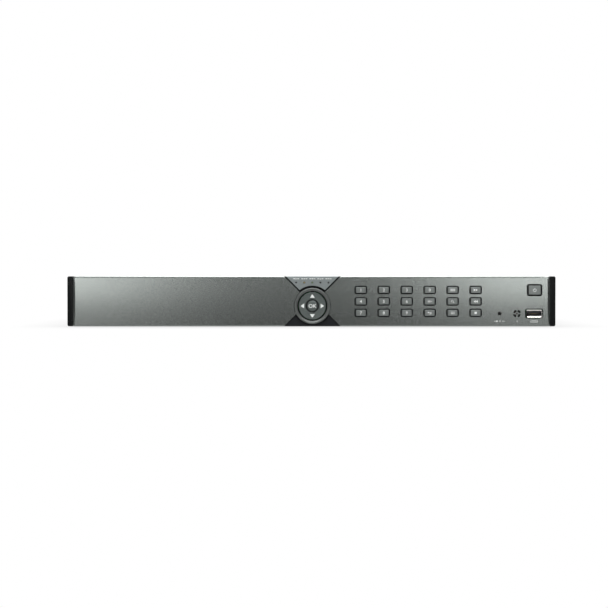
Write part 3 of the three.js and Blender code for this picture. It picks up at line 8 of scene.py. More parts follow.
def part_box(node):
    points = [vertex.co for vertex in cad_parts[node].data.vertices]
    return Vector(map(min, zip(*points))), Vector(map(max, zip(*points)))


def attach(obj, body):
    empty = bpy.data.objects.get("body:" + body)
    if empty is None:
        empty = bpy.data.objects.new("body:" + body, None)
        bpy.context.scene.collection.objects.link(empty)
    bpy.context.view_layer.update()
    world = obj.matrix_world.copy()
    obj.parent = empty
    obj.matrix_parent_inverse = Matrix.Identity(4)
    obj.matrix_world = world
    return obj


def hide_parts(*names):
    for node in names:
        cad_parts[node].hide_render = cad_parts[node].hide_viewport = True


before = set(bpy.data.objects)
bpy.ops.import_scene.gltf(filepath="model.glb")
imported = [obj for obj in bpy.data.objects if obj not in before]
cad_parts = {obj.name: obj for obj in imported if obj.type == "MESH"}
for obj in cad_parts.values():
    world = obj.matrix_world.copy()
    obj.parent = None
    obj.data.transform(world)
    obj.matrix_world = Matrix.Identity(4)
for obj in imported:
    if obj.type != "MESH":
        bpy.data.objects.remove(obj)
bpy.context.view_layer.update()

# A full-width video recorder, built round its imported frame. Shapes are made in millimetres, with X to the
# right, Y to the back from the front of the face plates and Z up from the underside of the feet.

MM = 0.001
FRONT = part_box("left_face_plate")[0].y
TO_FRAME = Matrix.Translation((0, FRONT, 0)) @ Matrix.Scale(MM, 4)
FROM_FRAME = TO_FRAME.inverted()
MAIN = "recorder"


def box(node):
    """A CAD node's lowest and highest corners, in this script's millimetres."""
    low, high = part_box(node)
    return FROM_FRAME @ low, FROM_FRAME @ high


def middle(node):
    low, high = box(node)
    return (low + high) / 2


def extent(node):
    """A CAD node's width and height."""
    low, high = box(node)
    return high.x - low.x, high.z - low.z


def spread(count, pitch):
    """Evenly spaced places round 0."""
    return [(i - (count - 1) / 2) * pitch for i in range(count)]


# ---------------------------------------------------------------- sizes

PLATE_LOW, PLATE_HIGH = box("left_face_plate")
PANEL_BOTTOM = PLATE_LOW.z
PANEL_TOP = PLATE_HIGH.z
PANEL_MIDDLE = (PANEL_BOTTOM + PANEL_TOP) / 2
PANEL_HEIGHT = PANEL_TOP - PANEL_BOTTOM
PANEL_HALF = PANEL_HEIGHT / 2
PLATE_BACK = PLATE_HIGH.y
FACE_HALF = box("right_face_plate")[1].x
CROWN = 0.6  # how far the plates' front falls back at its upper and lower edge
CROWN_STRIPS = 24  # level strips that let the front follow the crown
EDGE_CHAMFER = 1.2
EDGE_CHAMFER_DEPTH = 0.5
END_BEVEL = 2.3
END_BEVEL_DEPTH = 0.8
SOFT_EDGE = 0.12  # the small radius on moulded and cut edges

NAV = middle("nav_ring")
RING_OUTER = extent("nav_ring")[0] / 2
RING_WIDTH = 2.9
RING_INNER = RING_OUTER - RING_WIDTH
PAD_OUTER = RING_INNER - 1.1
OK_OUTER = RING_OUTER * 0.295
PAD_INNER = OK_OUTER + 1.2
PLATE_ARC = RING_OUTER + 0.25
INDICATOR_ARC = RING_OUTER + 1.9

# Heights over the panel's bottom where the 45-degree edges would meet under the pad's centre line
PLATE_UPPER_FOOT = 19.38
PLATE_LOWER_FOOT = 25.6
INDICATOR_FOOT = 21.22

KEY_FRAME = 1.2  # the dark gap round a key, and round the power key
POWER_FRAME = 1.5
KEY_CORNER = 0.8
FLANGE_OVERHANG = 0.7
FLANGE_FRONT, FLANGE_BACK = 3.8, 4.5  # the flange behind a key's cap
STEM_HALF = 1.1
LABEL_DROP = 6.9  # from the front sockets' line down to their signs
SIGN_RISE = 3.4  # from the indicators' line up to their signs

SHEET = 1.0  # the case's steel
BEND = 1.6  # the outer radius of its bends
BEND_STEPS = 8
VENT_PITCH, VENT_WIDTH, VENT_HEIGHT = 8, 2.4, 17


# ---------------------------------------------------------------- materials

def set_values(node, **values):
    """Sets a node's sockets, which are named with _ for a space."""
    for name, value in values.items():
        node.inputs[name.replace("_", " ")].default_value = value
    return node


def add_node(tree, kind, **values):
    return set_values(tree.nodes.new("ShaderNode" + kind), **values)


def look(
    name,
    color,
    roughness,
    metallic=0.0,
    tint=0.06,
    tint_size=6.0,
    grain=0.06,
    bump=0.06,
    bump_size=0.5,
    stretch=(1, 1, 1),
    coat=0.0,
    shine=0.5,
    glow=0.0,
    transmission=0.0,
):
    """A surface with drifting colour and roughness and a fine bump.

    tint and grain say how far the colour and the roughness drift. The sizes are in millimetres.
    """
    made = bpy.data.materials.new(name)
    made.use_nodes = True
    tree = made.node_tree
    join = tree.links.new
    shader = tree.nodes["Principled BSDF"]
    set_values(shader, Metallic=metallic, Specular_IOR_Level=shine, Transmission_Weight=transmission)
    set_values(shader, Coat_Weight=coat, Coat_Roughness=0.08)
    if glow:
        set_values(shader, Emission_Color=(*color, 1), Emission_Strength=glow)
    where = add_node(tree, "TexCoord")
    mapping = add_node(tree, "Mapping", Scale=stretch)
    join(where.outputs["Object"], mapping.inputs["Vector"])

    def noise(size, detail):
        node = add_node(tree, "TexNoise", Scale=1 / (size * MM), Detail=detail)
        join(mapping.outputs["Vector"], node.inputs["Vector"])
        return node

    drift = noise(tint_size, 3)
    mix = add_node(tree, "Mix")
    mix.data_type = "RGBA"
    darker = [c * (1 - tint) for c in color]
    lighter = [min(1, c * (1 + tint)) for c in color]
    set_values(mix, A=(*darker, 1), B=(*lighter, 1))
    join(drift.outputs["Fac"], mix.inputs["Factor"])
    join(mix.outputs["Result"], shader.inputs["Base Color"])
    fine = noise(bump_size, 4)
    span = add_node(tree, "MapRange", From_Min=0.3, From_Max=0.7)
    set_values(span, To_Min=max(0.02, roughness - grain), To_Max=roughness + grain)
    join(fine.outputs["Fac"], span.inputs["Value"])
    join(span.outputs["Result"], shader.inputs["Roughness"])
    relief = add_node(tree, "Bump", Strength=bump, Distance=bump_size * MM * 0.3)
    join(fine.outputs["Fac"], relief.inputs["Height"])
    join(relief.outputs["Normal"], shader.inputs["Normal"])
    return made


def circuit_look(name, mask, copper):
    """A circuit board: solder mask over faint tracks, with small pads."""
    made = look(name, mask, 0.35, tint=0.15, tint_size=3, bump=0.1, bump_size=0.8, coat=0.4)
    tree = made.node_tree
    join = tree.links.new
    color = tree.nodes["Principled BSDF"].inputs["Base Color"]
    base = color.links[0].from_socket
    where = add_node(tree, "TexCoord")
    tracks = add_node(tree, "TexBrick", Scale=1 / (12 * MM), Mortar_Size=0.03)
    set_values(tracks, Color1=(0, 0, 0, 1), Color2=(0.15, 0.15, 0.15, 1), Mortar=(1, 1, 1, 1))
    join(where.outputs["Object"], tracks.inputs["Vector"])
    mix = add_node(tree, "Mix")
    mix.data_type = "RGBA"
    set_values(mix, B=(*copper, 1))
    join(tracks.outputs["Color"], mix.inputs["Factor"])
    join(base, mix.inputs["A"])
    join(mix.outputs["Result"], color)
    return made


# colour, roughness, metallic, tint, tint_size, grain, bump, bump_size
face_metal = look("face_metal", (0.268, 0.288, 0.275), 0.265, 0.92, 0.03, 9, 0.03, 0.04, 0.25)
indicator_paint = look("indicator_paint", (0.27, 0.30, 0.30), 0.4, 0.8, 0.03, 7, 0.03, 0.05, 0.25)
ring_metal = look("ring_metal", (0.13, 0.14, 0.134), 0.5, 0.4, 0.03, 5, 0.03, 0.04, 0.25)
pad_paint = look("pad_paint", (0.125, 0.145, 0.138), 0.42, 0.7, 0.04, 5, 0.04, 0.06, 0.25)
key_paint = look("key_paint", (0.24, 0.26, 0.25), 0.38, 0.85, 0.04, 4, 0.04, 0.05, 0.25)
gloss_black = look("gloss_black", (0.006, 0.007, 0.008), 0.3, 0, 0.15, 12, 0.04, 0.02, 0.6, shine=0.16)
recess_grey = look("recess_grey", (0.013, 0.015, 0.017), 0.4, 0, 0.1, 8, 0.05, 0.05, 0.4, shine=0.2)
cap_black = look("cap_black", (0.008, 0.009, 0.009), 0.42, 0, 0.15, 10, 0.05, 0.08, 0.35, shine=0.15)
powder_black = look("powder_black", (0.02, 0.021, 0.023), 0.55, 0.1, 0.12, 15, 0.08, 0.35, 0.45)
nickel = look("nickel", (0.68, 0.66, 0.61), 0.22, 1, 0.05, 4, 0.06, 0.05, 0.4)
bright_nickel = look("bright_nickel", (0.8, 0.79, 0.76), 0.16, 1, 0.04, 4, 0.05, 0.04, 0.4)
gold = look("gold", (0.83, 0.6, 0.25), 0.25, 1, 0.05, 3, 0.05, 0.04, 0.3)
zinc = look("zinc", (0.5, 0.5, 0.5), 0.35, 1, 0.1, 2, 0.08, 0.1, 0.4)
rubber = look("rubber", (0.018, 0.018, 0.018), 0.85, 0, 0.15, 4, 0.08, 0.4, 0.3)
moulded_black = look("moulded_black", (0.02, 0.02, 0.022), 0.48, 0, 0.12, 6, 0.08, 0.2, 0.3)
moulded_white = look("moulded_white", (0.75, 0.74, 0.7), 0.45, 0, 0.04, 4, 0.06, 0.08, 0.3)
moulded_red = look("moulded_red", (0.5, 0.02, 0.02), 0.4, 0, 0.08, 4, 0.06, 0.1, 0.3)
moulded_blue = look("moulded_blue", (0.02, 0.07, 0.4), 0.42, 0, 0.08, 4, 0.06, 0.1, 0.3)
moulded_green = look("moulded_green", (0.03, 0.26, 0.08), 0.42, 0, 0.08, 4, 0.06, 0.12, 0.3)
legend_white = look("legend_white", (0.88, 0.9, 0.88), 0.5, 0, 0.02, 2, 0.05, 0.05, 0.2)
print_grey = look("print_grey", (0.55, 0.56, 0.55), 0.55, 0, 0.05, 2, 0.05, 0.05, 0.2)
lens_dark = look("lens_dark", (0.05, 0.055, 0.06), 0.12, 0, 0.1, 2, 0.03, 0.02, 0.3, coat=0.5)
lens_amber = look("lens_amber", (0.3, 0.25, 0.13), 0.15, 0, 0.1, 2, 0.03, 0.02, 0.3, coat=0.5, glow=0.03)
lens_green = look("lens_green", (0.16, 0.22, 0.13), 0.15, 0, 0.1, 2, 0.03, 0.02, 0.3, coat=0.5, glow=0.03)
lens_red = look("lens_red", (0.07, 0.008, 0.008), 0.1, 0, 0.1, 3, 0.03, 0.02, 0.4, coat=0.6)
clear_plastic = look("clear_plastic", (0.7, 0.72, 0.7), 0.15, 0, 0.03, 3, 0.03, 0.02, 0.3, transmission=0.6)
cast_metal = look("cast_metal", (0.5, 0.51, 0.52), 0.42, 1, 0.08, 8, 0.08, 0.3, 0.7)
fin_metal = look("fin_metal", (0.1, 0.1, 0.11), 0.45, 0.9, 0.1, 6, 0.08, 0.1, 0.5)
ribbon_grey = look(
    "ribbon_grey", (0.42, 0.42, 0.4), 0.55, 0, 0.12, 1.3, 0.05, 0.3, 1.27, stretch=(1, 0.01, 0.01)
)
cable_red = look("cable_red", (0.4, 0.02, 0.015), 0.45, 0, 0.06, 4, 0.05, 0.1, 0.5)
green_board = circuit_look("green_board", (0.015, 0.12, 0.04), (0.08, 0.28, 0.08))


# ---------------------------------------------------------------- outlines, as lists of points

def arc(x, z, radius, start, end, steps):
    """Points on a circle from one angle to another, in degrees."""
    angles = [math.radians(start + (end - start) * i / steps) for i in range(steps + 1)]
    return [(x + radius * math.cos(a), z + radius * math.sin(a)) for a in angles]


def circle(x, z, radius, sides=32):
    return arc(x, z, radius, 0, 360, sides)[:-1]


def shifted(x, z, points):
    """An outline drawn round 0, moved to stand round x and z."""
    return [(x + px, z + pz) for px, pz in points]


def rounded(x, z, width, height, radius, steps=6):
    """A rectangle with round corners."""
    w, h = width / 2 - radius, height / 2 - radius
    corners = [(w, h, 0), (-w, h, 90), (-w, -h, 180), (w, -h, 270)]
    return [p for cx, cz, start in corners for p in arc(x + cx, z + cz, radius, start, start + 90, steps)]


def at_depth(y, outline):
    """An outline as points in space, all at one depth."""
    return [(x, y, z) for x, z in outline]


def groove_point(foot, slope, radius):
    """Where |x| = slope * (height - foot) meets a circle round the pad, as an angle in degrees."""
    height = NAV.z - PANEL_BOTTOM
    offset = slope * (height - foot)
    up = (-slope * offset + slope * math.sqrt(2 * radius * radius - offset * offset)) / 2
    return math.degrees(math.atan2(up, offset + slope * up))


def plate_outline(side):
    """A face plate: two 45-degree edges and an arc round the pad's ring. side is -1 or 1."""
    upper = groove_point(PLATE_UPPER_FOOT, 1, PLATE_ARC)
    lower = groove_point(PLATE_LOWER_FOOT, -1, PLATE_ARC)
    points = [(FACE_HALF * side, PANEL_BOTTOM), (FACE_HALF * side, PANEL_TOP)]
    points.append((NAV.x + side * (PANEL_HEIGHT - PLATE_UPPER_FOOT), PANEL_TOP))
    points += [(NAV.x + side * px, NAV.z + pz) for px, pz in arc(0, 0, PLATE_ARC, upper, lower, 40)]
    points.append((NAV.x + side * PLATE_LOWER_FOOT, PANEL_BOTTOM))
    return points


def indicator_outline():
    """The panel between the plates: two 45-degree edges and an arc over the ring."""
    angle = groove_point(INDICATOR_FOOT, 1, INDICATOR_ARC)
    top = PANEL_HEIGHT - INDICATOR_FOOT
    points = [(NAV.x + top, PANEL_TOP), (NAV.x - top, PANEL_TOP)]
    return points + arc(NAV.x, NAV.z, INDICATOR_ARC, 180 - angle, angle, 32)


def evaluated(data):
    """The mesh that a curve or text makes."""
    holder = bpy.data.objects.new("holder", data)
    bpy.context.scene.collection.objects.link(holder)
    graph = bpy.context.evaluated_depsgraph_get()
    graph.update()
    mesh = bpy.data.meshes.new_from_object(holder.evaluated_get(graph))
    bpy.data.objects.remove(holder)
    return mesh


# Turns a mesh drawn in X and Y, and thick along Z, to stand in X and Z with its front towards -Y.
STAND = Matrix(((1, 0, 0, 0), (0, 0, -1, 0), (0, 1, 0, 0), (0, 0, 0, 1)))
HALF_TURN = Matrix.Rotation(math.pi, 4, "Z")


def turned(place, degrees, axis):
    """A turn about an axis, and then a move to a place."""
    return Matrix.Translation(place) @ Matrix.Rotation(math.radians(degrees), 4, axis)


def from_y(start, *points):
    """A stretch of a lathe's profile, its depths counted from start."""
    return [(radius, start + y) for radius, y in points]


class Shape:
    """Closed shells that together make one piece. Each shell has its material."""

    def __init__(self):
        self.bm = bmesh.new()
        self.looks = []

    def slot(self, material):
        if material not in self.looks:
            self.looks.append(material)
        return self.looks.index(material)

    def loft(self, rings, material, turn=None, closed=False):
        """A skin over rings of points that run the same way round.

        It has a flat face at each end, or where it is closed the last ring joins the first.
        """
        number = self.slot(material)
        made = [[self.bm.verts.new(p) for p in ring] for ring in rings]
        faces = [] if closed else [self.bm.faces.new(made[0]), self.bm.faces.new(made[-1])]
        for a, b in zip(made, made[1:] + made[:1] if closed else made[1:]):
            for i in range(len(a)):
                j = (i + 1) % len(a)
                faces.append(self.bm.faces.new((a[i], a[j], b[j], b[i])))
        for face in faces:
            face.material_index = number
            face.smooth = True
        if turn:
            bmesh.ops.transform(self.bm, matrix=turn, verts=[v for ring in made for v in ring])

    def lathe(self, profile, material, x=0, z=0, sides=32, closed=False, turn=None):
        """(radius, y) pairs turned about a line along Y. A closed profile makes a ring."""
        rings = [at_depth(y, circle(x, z, r, sides)) for r, y in profile]
        self.loft(rings, material, turn, closed)

    def button(self, x, z, width, height, corner, front, back, material, edge=0.3, steps=3):
        """A rounded slab along Y with a quarter-round front edge."""
        rings = []
        for i in range(steps + 1):
            angle = math.pi / 2 * i / steps
            inset = edge * (1 - math.sin(angle))
            y = front + edge * (1 - math.cos(angle))
            outline = rounded(x, z, width - 2 * inset, height - 2 * inset, max(corner - inset, 0.05))
            rings.append(at_depth(y, outline))
        rings.append(at_depth(back, rounded(x, z, width, height, corner)))
        self.loft(rings, material)

    def block(self, x0, x1, y0, y1, z0, z1, material, edge=0.1, turn=None):
        """A box with small chamfers all round."""
        x, z, w, h = (x0 + x1) / 2, (z0 + z1) / 2, x1 - x0, z1 - z0
        sections = [(y0, edge), (y0 + edge, 0), (y1 - edge, 0), (y1, edge)]
        outlines = [(y, rounded(x, z, w - 2 * inset, h - 2 * inset, edge, 1)) for y, inset in sections]
        self.loft([at_depth(*pair) for pair in outlines], material, turn)

    def adopt(self, mesh, material, matrix):
        """Takes in another mesh's faces."""
        number = self.slot(material)
        other = bmesh.new()
        other.from_mesh(mesh)
        bmesh.ops.remove_doubles(other, verts=other.verts, dist=1e-4)
        other.transform(matrix)
        for face in other.faces:
            face.material_index = number
            face.smooth = True
        other.to_mesh(mesh)
        other.free()
        self.bm.from_mesh(mesh)
        bpy.data.meshes.remove(mesh)

    def slab(self, outline, holes, y0, y1, material, edge=SOFT_EDGE):
        """An upright plate from y0 to y1 with holes through it and soft edges."""
        place = Matrix.Translation((0, (y0 + y1) / 2, 0)) @ STAND
        self.adopt(flat_mesh(outline, holes, y1 - y0, edge), material, place)

    def layer(self, outline, holes, z0, z1, material, edge=SOFT_EDGE):
        """A level plate from z0 to z1, its outline in X and Y."""
        place = Matrix.Translation((0, 0, (z0 + z1) / 2))
        self.adopt(flat_mesh(outline, holes, z1 - z0, edge), material, place)

    def text(self, words, height, x, z, front, material, depth=0.06, wide=1.0, behind=False):
        """Raised lettering that faces the front, or the back, centred on x and z."""
        curve = bpy.data.curves.new("words", "FONT")
        curve.body = words
        curve.align_x = "CENTER"
        curve.align_y = "CENTER"
        curve.extrude = depth / 2
        curve.resolution_u = 3
        curve.offset = 0.012
        mesh = evaluated(curve)
        tall = max(v.co.y for v in mesh.vertices) - min(v.co.y for v in mesh.vertices)
        centre = (max(v.co.y for v in mesh.vertices) + min(v.co.y for v in mesh.vertices)) / 2
        scale = height / tall
        place = Matrix.Translation((x, front, z)) @ (HALF_TURN if behind else Matrix()) @ STAND
        size = Matrix.Diagonal((scale * wide, scale, 1, 1))
        self.adopt(mesh, material, place @ size @ Matrix.Translation((0, -centre, 0)))

    def mark(self, outline, front, material=legend_white, depth=0.06, holes=()):
        """A thin raised mark that faces the front or the back."""
        self.slab(outline, holes, front - depth / 2, front + depth / 2, material, 0)

    def cut(self, place, direction):
        """Adds edges where a plane crosses the shells."""
        everything = [*self.bm.verts, *self.bm.edges, *self.bm.faces]
        bmesh.ops.bisect_plane(self.bm, geom=everything, plane_co=place, plane_no=direction)

    def piece(self, name, body, record_slot, replaces=(), angle=32, normals=None):
        """Makes the shells one object that rides on a body."""
        bmesh.ops.recalc_face_normals(self.bm, faces=self.bm.faces)
        mesh = bpy.data.meshes.new(name)
        self.bm.to_mesh(mesh)
        self.bm.free()
        for material in self.looks:
            mesh.materials.append(material)
        mesh.set_sharp_from_angle(angle=math.radians(angle))
        if normals:
            mesh.normals_split_custom_set(normals(mesh))
        mesh.transform(TO_FRAME)
        made = bpy.data.objects.new(name, mesh)
        bpy.context.scene.collection.objects.link(made)
        if not normals:
            weighted = made.modifiers.new("flat_faces_stay_flat", "WEIGHTED_NORMAL")
            weighted.keep_sharp = True
            weighted.weight = 90
        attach(made, body)
        if replaces:
            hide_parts(*replaces)
        return made


def flat_mesh(outline, holes, thickness, edge):
    """A plate in X and Y with soft edges, from a filled curve."""
    curve = bpy.data.curves.new("flat", "CURVE")
    curve.dimensions = "2D"
    curve.fill_mode = "BOTH"
    curve.extrude = thickness / 2 - edge
    curve.bevel_depth = edge
    curve.bevel_resolution = 1
    curve.offset = -edge
    for loop in [outline, *holes]:
        spline = curve.splines.new("POLY")
        spline.points.add(len(loop) - 1)
        for point, (x, y) in zip(spline.points, loop):
            point.co = (x, y, 0, 1)
        spline.use_cyclic_u = True
    return evaluated(curve)


# ---------------------------------------------------------------- face plates

KEYS = [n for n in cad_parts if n.startswith("key_")]


def key_size(node):
    """The width and height of a key's cap, without the flange behind it."""
    width, height = extent(node)
    return width - 2 * FLANGE_OVERHANG, height - 2 * FLANGE_OVERHANG


def well(node, margin):
    """The hole in the plate round a key."""
    centre = middle(node)
    width, height = (length + 2 * margin for length in key_size(node))
    return rounded(centre.x, centre.z, width, height, KEY_CORNER + margin * 0.9, 5)


def grille_holes():
    """Four curved slots and a pinhole in front of the infrared receiver."""
    x, z = middle("infrared_receiver").x, middle("external_receiver_jack").z
    outer, inner, sweep = 3.5, 1.68, 62
    holes = []
    for i in range(4):
        start = 45 + 90 * i - sweep / 2
        end = start + sweep
        holes.append(arc(x, z, outer, start, end, 10) + arc(x, z, inner, end, start, 6))
    return [*holes, circle(x, z, 0.7, 16)]


def usb_window(margin):
    centre = middle("front_usb_socket")
    width, height = (length + 2 * margin for length in extent("front_usb_socket"))
    return rounded(centre.x, centre.z, width, height, 1.8, 6)


def face_depth(x, z):
    """How far the plates' front lies behind its foremost line."""
    height = z - PANEL_MIDDLE
    crown = CROWN * (height / PANEL_HALF) ** 2
    edge = max(0.0, abs(height) - PANEL_HALF + EDGE_CHAMFER) / EDGE_CHAMFER * EDGE_CHAMFER_DEPTH
    end = max(0.0, abs(x) - FACE_HALF + END_BEVEL) / END_BEVEL * END_BEVEL_DEPTH
    return max(crown + edge, end)


def face_normals(mesh):
    """Normals that follow the crown exactly, so that reflections run smoothly round the wells."""
    normals = [Vector(n.vector) for n in mesh.corner_normals]
    for face in mesh.polygons:
        inside = abs(face.center.z - PANEL_MIDDLE) < PANEL_HALF - EDGE_CHAMFER
        inside = inside and abs(face.center.x) < FACE_HALF - END_BEVEL
        if face.normal.y > -0.99 or not inside or face.center.y > PLATE_BACK - 0.5:
            continue
        for corner in face.loop_indices:
            z = mesh.vertices[mesh.loops[corner].vertex_index].co.z
            slope = 2 * CROWN * (z - PANEL_MIDDLE) / PANEL_HALF**2
            normals[corner] = Vector((0, -1, slope)).normalized()
    return normals


def face_plate(side, holes):
    """A flat plate, cut into strips and pushed back to its crown, chamfers and bevelled end."""
    shape = Shape()
    shape.slab(plate_outline(side), holes, 0, PLATE_BACK, face_metal)
    levels = [PANEL_BOTTOM + EDGE_CHAMFER, PANEL_TOP - EDGE_CHAMFER]
    levels += [PANEL_BOTTOM + PANEL_HEIGHT * i / CROWN_STRIPS for i in range(1, CROWN_STRIPS)]
    for z in levels:
        shape.cut((0, 0, z), (0, 0, 1))
    shape.cut((side * (FACE_HALF - END_BEVEL), 0, 0), (1, 0, 0))
    for vertex in shape.bm.verts:
        share = 1 - vertex.co.y / PLATE_BACK
        vertex.co.y += face_depth(vertex.co.x, vertex.co.z) * share
    return shape


def waves(shape, x, z):
    """Three widening arcs, for a signal."""
    for radius in (0.55, 1.05, 1.55):
        outline = arc(x, z, radius, -42, 42, 8) + arc(x, z, radius - 0.22, 42, -42, 8)
        shape.mark(outline, face_depth(x, z))


def front_labels(shape):
    """Small printed marks under the front sockets: generic signs, no words."""
    jack, eye, usb = middle("external_receiver_jack"), middle("infrared_receiver"), middle("front_usb_socket")
    z = jack.z - LABEL_DROP
    front = face_depth(jack.x, z)
    waves(shape, jack.x - 0.9, z)
    shape.mark(circle(jack.x - 2.6, z, 0.8, 20), front)
    shape.mark(rounded(jack.x - 4.3, z, 1.9, 0.35, 0.1, 2), front)
    shape.mark(rounded(jack.x + 3.2, z, 2.4, 0.35, 0.1, 2), front)
    waves(shape, eye.x - 0.9, z)
    shape.mark(rounded(usb.x, z, 6.6, 2.1, 0.4, 3), front, holes=[rounded(usb.x, z, 5.9, 1.4, 0.2, 3)])
    shape.mark(rounded(usb.x, z + 0.25, 4.6, 0.55, 0.1, 2), front)


left_plate = face_plate(-1, [])
left_plate.piece("left_plate", MAIN, "face_metal", ["left_face_plate"], 25, face_normals)

jack = middle("external_receiver_jack")
right_holes = [well(key, KEY_FRAME) for key in KEYS] + [well("power_button", POWER_FRAME)]
right_holes += [circle(jack.x, jack.z, 1.9, 28), usb_window(0.65), *grille_holes()]
right_plate = face_plate(1, right_holes)
front_labels(right_plate)
right_plate.piece("right_plate", MAIN, "face_metal", ["right_face_plate"], 25, face_normals)


# ---------------------------------------------------------------- indicator panel

LIGHTS = [NAV.x + across for across in spread(5, 7.25)]
LIGHT_Z = middle("status_light_pipe").z


def indicator_signs(x, z):
    """A sign for each light, as outline and holes: a ring, a disc, a screen and two arrowheads."""
    return [
        (circle(x, z, 0.62, 20), [circle(x, z, 0.38, 16)]),
        (circle(x, z, 0.55, 20), []),
        (rounded(x, z, 1.3, 1.0, 0.2, 3), []),
        (shifted(x, z, [(-0.6, -0.5), (0.6, -0.5), (0, 0.6)]), []),
        (shifted(x, z, [(-0.6, 0.5), (0, -0.6), (0.6, 0.5)]), []),
    ]


def indicator_panel():
    """A panel that stands proud at the ring and runs into the plates' crown at the top."""
    shape = Shape()
    rise = 0.4
    foot = NAV.z + RING_OUTER * 0.6
    top = PANEL_TOP - EDGE_CHAMFER

    def depth(z):
        if z > top:
            return CROWN + EDGE_CHAMFER_DEPTH * (z - top) / EDGE_CHAMFER
        return -rise + (CROWN + rise) * (z - foot) / (top - foot)

    holes = [circle(x, LIGHT_Z, 0.95, 24) for x in LIGHTS]
    shape.slab(indicator_outline(), holes, 0, PLATE_BACK, indicator_paint)
    shape.cut((0, 0, top), (0, 0, 1))
    for vertex in shape.bm.verts:
        vertex.co.y += depth(vertex.co.z) * (1 - vertex.co.y / PLATE_BACK)
    z = LIGHT_Z + SIGN_RISE
    front = depth(z) - 0.01
    for i, x in enumerate(LIGHTS):
        for side in (-1, 1):
            shape.mark(rounded(x + side * 1.85, z, 1.7, 0.62, 0.15, 2), front)
        outline, inner = indicator_signs(x, z)[i]
        shape.mark(outline, front, holes=inner)
    shape.piece("indicator_cover", MAIN, "indicator_grey", ["indicator_panel"], 20)


def status_lights():
    """The light pipe: a bridge behind the panel, with a domed lens at each window."""
    shape = Shape()
    low, high = box("status_light_pipe")
    front, back = 3.8, 4.9
    shape.block(low.x, high.x, front, back, LIGHT_Z - 1.2, LIGHT_Z + 1.2, clear_plastic, 0.2)
    dome = [(0.1, 0.12), (0.35, 0.16), (0.6, 0.28), (0.75, 0.45), (0.8, 0.7), (0.8, front + 0.1)]
    for x, lens in zip(LIGHTS, [lens_dark, lens_amber, lens_green, lens_dark, lens_dark]):
        shape.lathe(dome, lens, x, LIGHT_Z, 20)
        shape.lathe([(0.8, back - 0.1), (0.8, high.y - 0.1), (0.7, high.y)], clear_plastic, x, LIGHT_Z, 16)
    shape.piece("status_lights", MAIN, "light_pipe", ["status_light_pipe"])


indicator_panel()
status_lights()


# ---------------------------------------------------------------- navigation pad

def nav_ring():
    """A ring with a round outer shoulder and a slope down to the pad."""
    shape = Shape()
    r0, r1 = RING_INNER, RING_OUTER
    crest = box("nav_ring")[0].y
    profile = [(r1, PLATE_BACK), (r1, crest * 0.25)]
    for a in range(15, 91, 15):
        inwards, outwards = 1 - math.cos(math.radians(a)), math.sin(math.radians(a))
        profile.append((r1 - 0.95 * inwards, crest * (0.25 + 0.75 * outwards)))
    profile += [(r1 - 1.25, crest * 0.99), (r1 - 1.6, crest * 0.9), (r0 + 0.7, crest * 0.6)]
    profile += [(r0 + 0.25, crest * 0.42), (r0 + 0.06, crest * 0.25), (r0, 0), (r0, PLATE_BACK)]
    shape.lathe(profile, ring_metal, NAV.x, NAV.z, 128, closed=True)
    shape.piece("nav_ring_trim", MAIN, "ring_metal", ["nav_ring"], 40)


def triangle(x, z, direction, base, height):
    """A triangle that points along a direction in degrees."""
    a = math.radians(direction)
    along, across = Vector((math.cos(a), math.sin(a))), Vector((-math.sin(a), math.cos(a)))
    centre = Vector((x, z))
    tip = centre + along * height / 2
    corners = [centre - along * height / 2 + across * base / 2 * way for way in (1, -1)]
    return [tuple(tip), tuple(corners[0]), tuple(corners[1])]


def direction_pad():
    """A dished ring with four arrows, and a fork behind each side for the gimbal."""
    shape = Shape()
    r0, r1 = PAD_INNER, PAD_OUTER
    low, high = box("direction_pad")
    front = low.y
    profile = [(r1, PLATE_BACK), (r1, front * 0.5), (r1 - 0.1, front * 0.78), (r1 - 0.3, front * 0.93)]
    profile += [(r1 - 0.6, front), (r1 - 1.6, front * 0.82), ((r0 + r1) / 2, front * 0.62)]
    profile += [(r0 + 1.2, front * 0.72), (r0 + 0.4, front * 0.8), (r0 + 0.12, front * 0.6)]
    profile += [(r0, front * 0.2), (r0, PLATE_BACK)]
    shape.lathe(profile, pad_paint, NAV.x, NAV.z, 112, closed=True)
    arrow_radius = 9.1
    for direction in (0, 90, 180, 270):
        x, z = arc(NAV.x, NAV.z, arrow_radius, direction, direction, 1)[0]
        shape.mark(triangle(x, z, direction, 4.3, 3.4), front * 0.66, depth=0.12)
    for side in (-1, 1):
        x0, x1 = sorted((NAV.x + side * 9.0, NAV.x + side * (PAD_OUTER - 0.7)))
        for prong in (-1, 1):
            z0, z1 = sorted((NAV.z + prong * 0.78, NAV.z + prong * 1.5))
            shape.block(x0, x1, PLATE_BACK - 0.3, high.y, z0, z1, pad_paint)
    shape.piece("direction_pad_cap", "direction_pad", "pad_grey", ["direction_pad"], 40)


def ok_button():
    """A domed cap with a black skirt and stem behind it; the skirt is moulded black as painted shade in the
    gap round the cap.
    """
    shape = Shape()
    low, high = box("ok_button")
    front, r = low.y, OK_OUTER
    flange = (high.x - low.x) / 2
    profile = [(0.3, front), (r * 0.5, front * 0.96), (r * 0.75, front * 0.86), (r - 0.5, front * 0.7)]
    profile += [(r - 0.15, front * 0.52), (r, front * 0.25), (r, 2.1)]
    shape.lathe(profile, pad_paint, NAV.x, NAV.z, 80)
    # The skirt and stem are black so that the gap round the cap reads dark: painted shade.
    painted_shade_skirt = [(r - 0.2, 2.0), (r, 2.3), (flange, 2.3), (flange, 2.75), (1.5, 2.75), (1.5, high.y)]
    shape.lathe(painted_shade_skirt, moulded_black, NAV.x, NAV.z, 80)
    shape.text("OK", 3.3, NAV.x, NAV.z, front - 0.01, legend_white, 0.1, 1.05)
    shape.piece("ok_button_cap", "ok_button", "pad_grey", ["ok_button"], 40)


